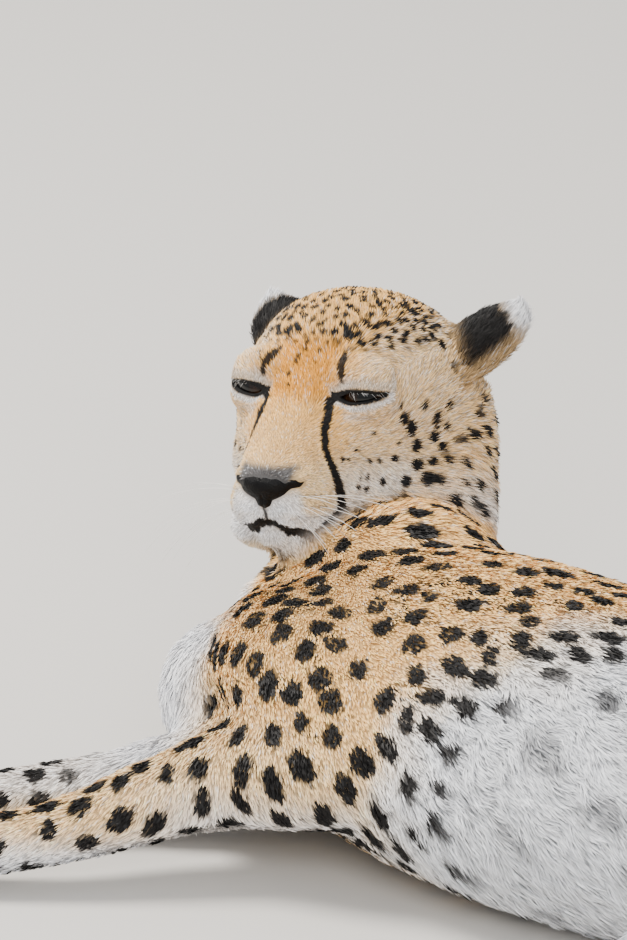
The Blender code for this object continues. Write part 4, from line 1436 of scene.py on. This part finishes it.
def nose_leather():
    piece = link_new("nose_leather", mesh_from(welded_copy("nose"), "nose_leather"))
    mesh = shaped_by(piece, "REMESH", mode="VOXEL", voxel_size=NOSE_CELL)
    net = Net(mesh)
    points = points_of(mesh)
    for _ in range(NOSE_ROUNDS):
        points = points + 0.5 * (net.mean(points) - points)
    place = on_head(points) * 1000
    above, below = np.maximum(place[:, 2] + 44, 0), np.minimum(place[:, 2] + 50, 0)
    wing = smoothstep(11, 16, np.abs(place[:, 1]))
    place[:, 2] -= (0.30 - 0.20 * wing) * above + 0.30 * below + 0.8 * wing
    place[:, 1] *= 0.93
    points = in_world(place / 1000)
    set_points(mesh, points)
    normals = normals_of(mesh)
    pressed = np.zeros(len(points))
    for side in (1, -1):
        gap, along = distance_to_line(place * (1, side, 1), NOSTRIL)
        pressed = np.maximum(pressed, 4.2 * (1 - 0.6 * along) * smoothstep(3.4 - 1.6 * along, 0.9, gap))
    groove, _ = distance_to_line(place, NOSE_GROOVE)
    pressed = np.maximum(pressed, 0.6 * np.exp(-((groove / 0.9) ** 2))) - 0.35
    for side in (1, -1):
        notch, _ = distance_to_line(place * (1, side, 1), WING_NOTCH)
        pressed = pressed + 2.4 * smoothstep(2.8, 0.8, notch)
    into = np.array([-0.8, 0, 0.15]) @ head_turn.T
    deep = smoothstep(1.0, 2.5, pressed)[:, None]
    set_points(mesh, points - (normals * (1 - deep) - into * deep) * pressed[:, None] / 1000)
    mesh.shade_smooth()
    return piece


def leather_finish():
    material, tree, shader = new_finish("nose leather", 0.42, 0.10)
    mottle = own_grain(tree, "ShaderNodeTexNoise", Scale=120.0, Detail=4.0)
    vary_colour(tree, shader, mottle, (0.001, 0.001, 0.0012), (0.005, 0.005, 0.0056))
    bumped(tree, shader, own_grain(tree, "ShaderNodeTexVoronoi", Scale=1100.0), "Distance", 0.0004, 0.6)
    return material


leather = nose_leather()
put_on(leather, "nose_leather", leather_finish(), "nose")
print("nose:", len(leather.data.polygons), "faces")

# %% [markdown]
# ## How the hair grows
#
# Hair is shortest on the muzzle and round the eyes, longer on the cheeks and the throat, and longest on the belly.
# It leaves the skin at a low angle and bends to lie along the body. Neighbouring hairs cling together in clumps,
# which a slow wave and a quick wave over the skin give. Round each eye hair lies away from the lids.

# %% Length and lie
EYE_AREA = 0.032  # metres round an eye where its lids turn the hair


def eye_gaps():
    gaps = [almond_gap(SKIN_POINTS, side) for side in (1, -1)]
    near = [np.where(norms(local) < EYE_AREA, gap, 1.0) for gap, local in gaps]
    return np.minimum(*near)


EYE_GAP = eye_gaps()


def hair_length():
    """The hair's length at each point of the skin, in metres."""
    x, y, z = head_mm.T
    y = np.abs(y)
    on_face = 4.2 - 1.8 * smoothstep(30, 62, x) + 1.8 * smoothstep(12, 36, z)
    on_face = on_face + 3.6 * smoothstep(12, -30, x) * smoothstep(20, -20, z)
    on_face = on_face + 2.5 * smoothstep(-50, -85, z) * smoothstep(40, -10, x)
    on_face = on_face - 0.6 * smoothstep(30, 60, x) * smoothstep(-40, -10, z)
    on_face = on_face * (0.34 + 0.66 * smoothstep(0.0008, 0.011, EYE_GAP))
    to_lip, _ = distance_to_line(np.stack([x, y, z], axis=1) * LIP_STRETCH, LAID["lip"] * LIP_STRETCH)
    on_face = on_face * (0.5 + 0.5 * smoothstep(1.5, 6, to_lip))
    length = from_coat(SHARES, HAIR)
    length = length * (1 - head_share) + on_face * head_share
    belly = WHITE_MASK * share_of["trunk"] * smoothstep(0.34, 0.30, SKIN_POINTS[:, 0])
    length = length + 7.5 * belly + 4.0 * chest_mask(SKIN_POINTS) * share_of["trunk"]
    length = length + share_of["neck"] * WHITE_MASK
    return SKIN_NET.spread(length, 4)[:, 0] / 1000


def lie_with_eyes():
    """The lie of the coat, turned away from the lids close to each eye."""
    away = unit(slope_of(SKIN_NET.spread(EYE_GAP, 6)[:, 0]))
    near = 0.85 * smoothstep(0.010, 0.002, EYE_GAP)[:, None]
    lie = unit(LIE * (1 - near) + away * near)
    return unit(SKIN_NET.spread(lie, 2))


LENGTH = hair_length()
HAIR_LIE = lie_with_eyes()
print("hair from", round(1000 * float(LENGTH.min()), 1), "to", round(1000 * float(LENGTH.max()), 1), "mm")

# %% [markdown]
# ## Tufts
#
# One tuft is a narrow ribbon that bends once and ends in a point: three triangles. Particle hair would be quicker
# to grow, but it can't be exported as a solid mesh, so the ribbons are made at once with arrays, root by root. The
# roots lie spread over the skin's triangles by area and density, so no row or grid shows.

# %% Roots
BODY_SPACING, FACE_SPACING = 0.00138, 0.00077
EAR_CLOSER = 0.0006
BALD_LID = 0.0009
TUFTS_AT_MOST = 62000  # in one piece
TUFT_PATCH = 0.003  # a tuft's size on the layout
SHOWN_AT = 0.6  # how far along a tuft its middle shows between its neighbours


def tuft_spacing():
    front = smoothstep(-70, -20, head_mm[:, 0]) * smoothstep(140, 100, norms(head_mm))
    spacing = BODY_SPACING + (FACE_SPACING - BODY_SPACING) * front * np.clip(head_share + share_of["neck"], 0, 1)
    for name in EARS:
        spacing = spacing - EAR_CLOSER * share_of[name]
    under = smoothstep(-0.5, -0.9, SKIN_NORMALS[:, 2]) * smoothstep(0.05, 0.02, SKIN_POINTS[:, 2])
    return np.maximum(spacing, FACE_SPACING) * (1 + 0.6 * under)


SPACING = tuft_spacing()


def tuft_roots():
    amounts = FACE_AREA / SPACING[SKIN_FACES].mean(axis=1) ** 2
    bald = (EYE_GAP < BALD_LID)[SKIN_FACES].any(axis=1)
    amounts = np.where(bald, 0, amounts)
    return on_triangles(amounts, int(amounts.sum()))


nose_tree = BVHTree.FromObject(leather, bpy.context.evaluated_depsgraph_get())
NOSE_MIDDLE, NOSE_REACH, NOSE_CLEAR = (0.074, 0, -0.040), 0.04, 0.0003


def under_nose(points):
    """Whether a point is inside the nose leather or touches it."""
    covered = np.zeros(len(points), bool)
    near = np.nonzero(norms(on_head(points) - NOSE_MIDDLE) < NOSE_REACH)[0]
    for i in near:
        place, normal, _, reach = nose_tree.find_nearest(points[i])
        covered[i] = reach < NOSE_CLEAR or (Vector(points[i]) - place).dot(normal) < 0
    return covered


ROOTS = tuft_roots()
ROOTS = ROOTS.pick(~under_nose(ROOTS.read(SKIN_POINTS)))
ROOT_POINTS = ROOTS.read(SKIN_POINTS)
print("tufts:", len(ROOTS))

# %% Colour of each tuft
HAIR_JITTER, DARK_HAIR, LIGHT_HAIR = 0.12, 0.55, 0.45


def tuft_colours():
    shares = ROOTS.read(SHARES)
    share = by_part(shares)
    normals, lie = unit(ROOTS.read(SKIN_NORMALS)), ROOTS.read(HAIR_LIE)
    walked, white = ROOTS.read(WALKED)[:, 0], ROOTS.read(WHITE_MASK)[:, 0]
    shown = ROOT_POINTS + lie * ROOTS.read(LENGTH) * SHOWN_AT
    black, under = blackness(shown, normals, shares, walked, white)
    ground, count = ROOTS.read(GROUND), len(ROOTS)
    jitter = 1 + chance.normal(0, HAIR_JITTER, count) + 0.07 * waves(ROOT_POINTS, 0.012, 31)
    aside = np.abs(on_head(ROOT_POINTS)[:, 1]) * 1000
    grizzled = np.maximum(smoothstep(20, 40, aside) * share["head"], share["neck"])
    of_ear = share["ear_left"] + share["ear_right"]
    dark_hair = chance.uniform(size=count) < 0.06 + 0.20 * grizzled + 0.16 * of_ear - 0.05 * white
    light_hair = chance.uniform(size=count) < 0.08 + 0.20 * grizzled
    jitter = np.where(dark_hair, jitter * DARK_HAIR, jitter)
    ground = lay(ground, (WHITE, LIGHT_HAIR * light_hair))
    return np.clip(with_marks(ground * jitter[:, None], black, under), 0, 1), black


TUFT_COLOUR, TUFT_BLACK = tuft_colours()
print("black tufts:", int((TUFT_BLACK > 0.5).sum()))

# %% Shape the ribbons
HALF_WIDTH, BEND_WIDTH = 0.31, 0.85  # of the spacing, and of the width at the root
ROOT_DEPTH, FLOOR_CLEAR = 0.0003, 0.0004
# Painted light along a tuft, at its two root corners, its two bend corners and its tip: painted shade darkens the
# root, down in the coat, and a painted highlight lightens the tip.
TAWNY_PAINTED_LIGHT = np.array([0.55, 0.55, 0.98, 0.98, 1.18])[None, :, None]
WHITE_PAINTED_LIGHT = np.array([0.80, 0.80, 0.98, 0.98, 1.06])[None, :, None]
PATCH = (np.array([(0, 0), (1, 0), (0.9, 0.5), (0.1, 0.5), (0.5, 1)]) - 0.5) * TUFT_PATCH


def ribbons(chosen):
    """Points, colours and layout places of the tufts with these numbers."""
    roots, root, count = ROOTS.pick(chosen), ROOT_POINTS[chosen], len(chosen)
    normal, lie = unit(roots.read(SKIN_NORMALS)), unit(roots.read(HAIR_LIE))
    length = roots.read(LENGTH) * chance.uniform(0.72, 1.22, (count, 1))
    shaggy = smoothstep(0.006, 0.014, length[:, 0])
    sway = (0.12 + 0.18 * shaggy) * waves(root, 0.030, 41) + (0.10 + 0.16 * shaggy) * waves(root, 0.009, 42)
    sway = sway + chance.normal(0, 0.12, count)
    lie = lie * np.cos(sway)[:, None] + np.cross(normal, lie) * np.sin(sway)[:, None]
    lie = unit(lie - normal * (lie * normal).sum(axis=1, keepdims=True))
    roll = chance.normal(0, 0.45, (count, 1))
    side = np.cross(normal, lie) * np.cos(roll) + normal * np.sin(roll)
    rise = np.radians(20 + 5 * waves(root, 0.014, 43) + chance.normal(0, 4, count))[:, None]
    rest = np.radians(6 + 4 * waves(root, 0.014, 44) + chance.normal(0, 3, count))[:, None]
    bend = root + 0.5 * length * (lie * np.cos(rise) + normal * np.sin(rise))
    tip = bend + 0.5 * length * (lie * np.cos(rest) + normal * np.sin(rest))
    spacing = roots.read(SPACING)
    wide = spacing * HALF_WIDTH * chance.uniform(0.8, 1.25, (count, 1))
    # Where the skin's own colours are coarse, black tufts are wider, so that no tawny shows between them.
    wide = wide * (1 + smoothstep(0.0009, 0.0013, spacing) * (0.12 + 0.65 * TUFT_BLACK[chosen][:, None]))
    low, at_bend = root - normal * ROOT_DEPTH, side * wide * BEND_WIDTH
    points = np.stack([low - side * wide, low + side * wide, bend + at_bend, bend - at_bend, tip], axis=1)
    points[:, :, 2] = np.maximum(points[:, :, 2], FLOOR_CLEAR)
    # Painted shade at each root and a painted highlight at each tip, softer on white hair.
    shade = TAWNY_PAINTED_LIGHT + (WHITE_PAINTED_LIGHT - TAWNY_PAINTED_LIGHT) * roots.read(WHITE_MASK)[:, :, None]
    colours = np.clip(TUFT_COLOUR[chosen][:, None, :] * shade, 0, 1)
    centre = (CORNER_UV[roots.face] * roots.share[:, :, None]).sum(axis=1)
    return points, colours, np.clip(centre[:, None, :] + PATCH[None], 0, 1)


# %% Ribbons as meshes
RIBBON_FACES = np.array([0, 1, 2, 3, 3, 2, 4])  # a four-sided face, then a triangle
FACE_STARTS = np.array([0, 4])


def grow(name, chosen):
    points, colours, places = ribbons(chosen)
    number = np.arange(len(chosen))[:, None]
    mesh = bpy.data.meshes.new(name)
    mesh.vertices.add(number.size * 5)
    set_points(mesh, points)
    mesh.loops.add(number.size * 7)
    mesh.loops.foreach_set("vertex_index", (number * 5 + RIBBON_FACES).astype(np.int32).ravel())
    mesh.polygons.add(number.size * 2)
    mesh.polygons.foreach_set("loop_start", (number * 7 + FACE_STARTS).astype(np.int32).ravel())
    mesh.update(calc_edges=True)
    mesh.shade_smooth()
    give_colour(mesh, colours.reshape(-1, 3))
    give_layout(mesh, places[:, RIBBON_FACES])
    put_on(link_new(name, mesh), "coat", HAIR_FINISH)


# %% Grow the coat


def region_of(part):
    """The coat's piece that a part of the body belongs to."""
    if part.startswith("ear"):
        return "ears"
    if part.startswith("tail"):
        return "tail"
    return "limbs_" + part.rsplit("_", 1)[1] if "_" in part else part


def coat_regions():
    """The piece of the coat that each tuft belongs to."""
    part = ROOTS.read(SHARES).argmax(axis=1)
    names = np.array([region_of(name) for name in PARTS], object)[part]
    head, aside = names == "head", on_head(ROOT_POINTS)[:, 1]
    names[head & (aside >= 0)] = "head_left"
    names[head & (aside < 0)] = "head_right"
    return names


def grow_coat():
    """Grows each region, in as many meshes as keep each small enough. Gives back the number of tufts."""
    regions = coat_regions()
    for region in sorted(set(regions)):
        chosen = np.nonzero(regions == region)[0]
        pieces = -(-len(chosen) // TUFTS_AT_MOST)
        order = chosen[np.argsort(ROOT_POINTS[chosen, 0], kind="stable")]
        for number, group in enumerate(np.array_split(order, pieces)):
            name = "coat_" + region + (f"_{number + 1}" if pieces > 1 else "")
            grow(name, group)
            print("  ", name, len(group))
    return len(regions)


print("triangles in the coat:", 3 * grow_coat())

# %% [markdown]
# ## Eyes
#
# Behind the lids sit whole eyeballs: an iris round a small dark pupil, dark at the rim, and wet. The iris is
# painted dark brown rather than amber, as painted shade from the lids and the brow. Almost closed, they show as
# dark slits with a glint.

# %% Eyes
# How far from the middle of the gaze, as a share of a right angle, and the colour there. The iris is painted dark
# brown rather than amber: painted shade from the lids and the brow.
SHADED_IRIS_RINGS = (
    (0.0, (0.002, 0.002, 0.002)), (0.20, (0.002, 0.002, 0.002)), (0.24, (0.022, 0.010, 0.005)),
    (0.50, (0.055, 0.024, 0.009)), (0.60, (0.020, 0.009, 0.005)), (0.66, (0.006, 0.004, 0.004)),
    (1.0, (0.03, 0.018, 0.014)),
)


def eye_finish():
    material, tree, shader = new_finish("eye", 0.10, 0.22)
    from_look = add_node(tree, "ShaderNodeAttribute", attribute_name="from_look")
    rings = add_node(tree, "ShaderNodeValToRGB")
    ramp = rings.color_ramp
    for place, colour in SHADED_IRIS_RINGS:
        ramp.elements.new(place).color = (*colour, 1)
    ramp.elements.remove(ramp.elements[-1])
    join(tree, from_look, "Fac", rings, "Fac")
    streaks = own_grain(tree, "ShaderNodeTexNoise", Scale=700.0, Detail=2.0)
    shade_colour(tree, shader, rings, streaks, "Fac")
    shader.inputs["Coat Weight"].default_value = 0.25
    shader.inputs["Coat Roughness"].default_value = 0.03
    return material


EYE_FINISH = eye_finish()


def eyeball(name, side):
    bm = bmesh.new()
    bmesh.ops.create_uvsphere(bm, u_segments=64, v_segments=48, radius=EYE_RADIUS * 0.995)
    local = np.array([vert.co for vert in bm.verts])[:, [2, 0, 1]]
    for vert, place in zip(bm.verts, local):
        vert.co = place
    bmesh.ops.recalc_face_normals(bm, faces=bm.faces)
    mesh = mesh_from(bm, "eyeball_" + name)
    mesh.transform(eye_axes(side))
    mesh.shade_smooth()
    angle = np.arccos(np.clip(local[:, 0] / norms(local), -1, 1)) / (math.pi / 2)
    layer = mesh.attributes.new("from_look", "FLOAT", "POINT")
    layer.data.foreach_set("value", np.clip(angle, 0, 1).astype(np.float32))
    put_on(link_new("eyeball_" + name, mesh), "eye", EYE_FINISH, "eye_" + name)


eyeball("left", 1)
eyeball("right", -1)

# %% [markdown]
# ## Whiskers and lashes
#
# Whiskers stand in rows on the pads beside the mouth. Each is a long tapered bristle that leaves outward, bends
# back and droops. Shorter bristles stand over the eyes.

# %% Bristles
TIP = 0.00003  # metres: half a bristle's width at its tip
SIDEWAYS = (0.1, 0.2, 1.0)  # a way that no bristle points in


def bristle(start, way, length, droop, thickness, sides=5, steps=9):
    """Points and faces of one tapered, bending bristle. Start and way are on the head, in metres."""
    here = np.array(start, float)
    way = np.array(way, float) / np.linalg.norm(way)
    rows = []
    for k in range(steps + 1):
        t = k / steps
        aside = np.cross(way, SIDEWAYS)
        aside /= np.linalg.norm(aside)
        above = np.cross(aside, way)
        reach = thickness * (1 - t) ** 0.8 + TIP
        turns = np.arange(sides) * 2 * math.pi / sides
        rows.append(here + reach * (np.cos(turns)[:, None] * aside + np.sin(turns)[:, None] * above))
        here = here + way * length / steps
        way = way + np.array(droop) / steps
        way /= np.linalg.norm(way)
    faces = []
    for k in range(steps):
        for i in range(sides):
            j = (i + 1) % sides
            faces.append((k * sides + i, k * sides + j, (k + 1) * sides + j, (k + 1) * sides + i))
    faces.append(tuple(range(sides))[::-1])
    faces.append(tuple(range(steps * sides, (steps + 1) * sides)))
    return np.concatenate(rows), faces


def bristles(name, rows, finish, placed=in_world, slot="coat"):
    """One piece of many bristles. The rows' places are turned into world places by the function given."""
    points, faces = [], []
    for row in rows:
        made, sides = bristle(**row)
        first = sum(map(len, points))
        points.append(placed(made))
        faces += [tuple(first + i for i in side) for side in sides]
    mesh = bpy.data.meshes.new(name)
    mesh.from_pydata(np.concatenate(points).tolist(), [], faces)
    mesh.shade_smooth()
    put_on(link_new(name, mesh), slot, finish)
    print(name, len(rows))


def horn_finish(name, roughness, scale, detail, dark, pale, bump_height=0.0):
    """Hair or horn whose colour runs in fine streaks from dark to pale."""
    material, tree, shader = new_finish(name, roughness)
    streaks = own_grain(tree, "ShaderNodeTexNoise", Scale=scale, Detail=detail)
    vary_colour(tree, shader, streaks, dark, pale)
    if bump_height:
        bumped(tree, shader, streaks, "Fac", bump_height, 0.5)
    return material


# %% Whiskers
WHITE_BRISTLE = horn_finish("white bristle", 0.35, 60.0, 2.0, (0.72, 0.70, 0.67), (0.92, 0.91, 0.89))
WHISKER = 0.00017  # half its width in metres


def whisker_rows():
    picker = np.random.default_rng(5)
    rows = []
    for side in (1, -1):
        for level, pads in enumerate(PAD_ROWS):
            for order, spot in enumerate(pads):
                place = in_world(np.array([spot]) * (0.001, side * 0.001, 0.001))[0]
                root = skin_tree.find_nearest(place)[0]
                start = on_head(np.array([root]))[0]
                way = np.array([0.30 - 0.22 * order, side * 0.95, 0.10 - 0.24 * level])
                way = way + picker.normal(0, 0.07, 3)
                rows.append({
                    "start": start - 0.001 * way / np.linalg.norm(way), "way": way,
                    "length": picker.uniform(0.055, 0.085) * (0.75 + 0.12 * order),
                    "droop": (-0.25, 0.0, -0.75 + picker.normal(0, 0.12)), "thickness": WHISKER,
                })
    return rows


bristles("whiskers", whisker_rows(), WHITE_BRISTLE)

# %% Pale hairs over the lids
LID_HAIR, LID_HAIRS = 0.00007, 20  # half a hair's width in metres, and how many stand on each lid


def lid_hair_rows():
    """Pale hairs that stand on the upper lid and hang over the slit. They fan outward along the lid."""
    picker = np.random.default_rng(6)
    rows = []
    for side in (1, -1):
        axes = slit_axes(side)
        for u in np.linspace(-0.60, 0.85, LID_HAIRS) + picker.normal(0, 0.03, LID_HAIRS):
            high = max(slit_rise(u), 0) + picker.uniform(0.0008, 0.0024)
            across = side * u * SLIT_HALF_LENGTH
            from_middle = (across - side * SLIT_INWARD) ** 2 + (high + SLIT_UPWARD) ** 2
            depth = math.sqrt(max((EYE_RADIUS + LID_SHELL) ** 2 - from_middle, 1e-6))
            start, way = Vector((depth - 0.0004, across, high)), Vector((0.65, side * (0.55 + 1.2 * u), -0.50))
            way = way + Vector(picker.normal(0, 0.32, 3))
            rows.append({
                "start": on_head(np.array([axes @ start]))[0], "way": np.array(axes.to_3x3() @ way) @ head_turn,
                "length": 0.0032 + 0.0052 * picker.uniform() ** 2, "droop": (-0.7, 0.3 * side, -0.9),
                "thickness": LID_HAIR, "sides": 3, "steps": 4,
            })
    return rows


bristles("lid_hairs", lid_hair_rows(), WHITE_BRISTLE)

# %% [markdown]
# ## Claws
#
# A cheetah's claws don't draw in fully, so their blunt dark tips show in front of the four toes of each foot. The
# toes are found as the foremost points of the paw in four strips, seen along the limb.

# %% Claws
CLAW_LENGTH, CLAW_THICKNESS, CLAW_HEIGHT, CLAW_ROOT = 0.0122, 0.0026, 0.0135, 0.0065


def claw_rows(paw, limb):
    forward, aside, _, low, high = paw_axes(paw, limb)
    toes = points_of(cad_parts[paw].data)
    reach, across = toes @ forward, toes @ aside
    rows = []
    for k in range(4):
        strip = low + (high - low) * (k + 0.5) / 4
        near = np.abs(across - strip) < (high - low) * 0.10
        start = toes[near][reach[near].argmax()] - forward * CLAW_ROOT
        start[2] = CLAW_HEIGHT
        rows.append({"start": start, "way": forward + (0, 0, 0.10), "length": CLAW_LENGTH,
                     "droop": (0, 0, -1.5), "thickness": CLAW_THICKNESS, "sides": 10})
    return rows


CLAW_FINISH = horn_finish("claw horn", 0.32, 420.0, 3.0, (0.016, 0.012, 0.010), (0.085, 0.065, 0.050), 0.0003)
for paw, limb in PAW_LIMBS.items():
    bristles("claws_" + paw, claw_rows(paw, limb), CLAW_FINISH, np.asarray, "nose_leather")
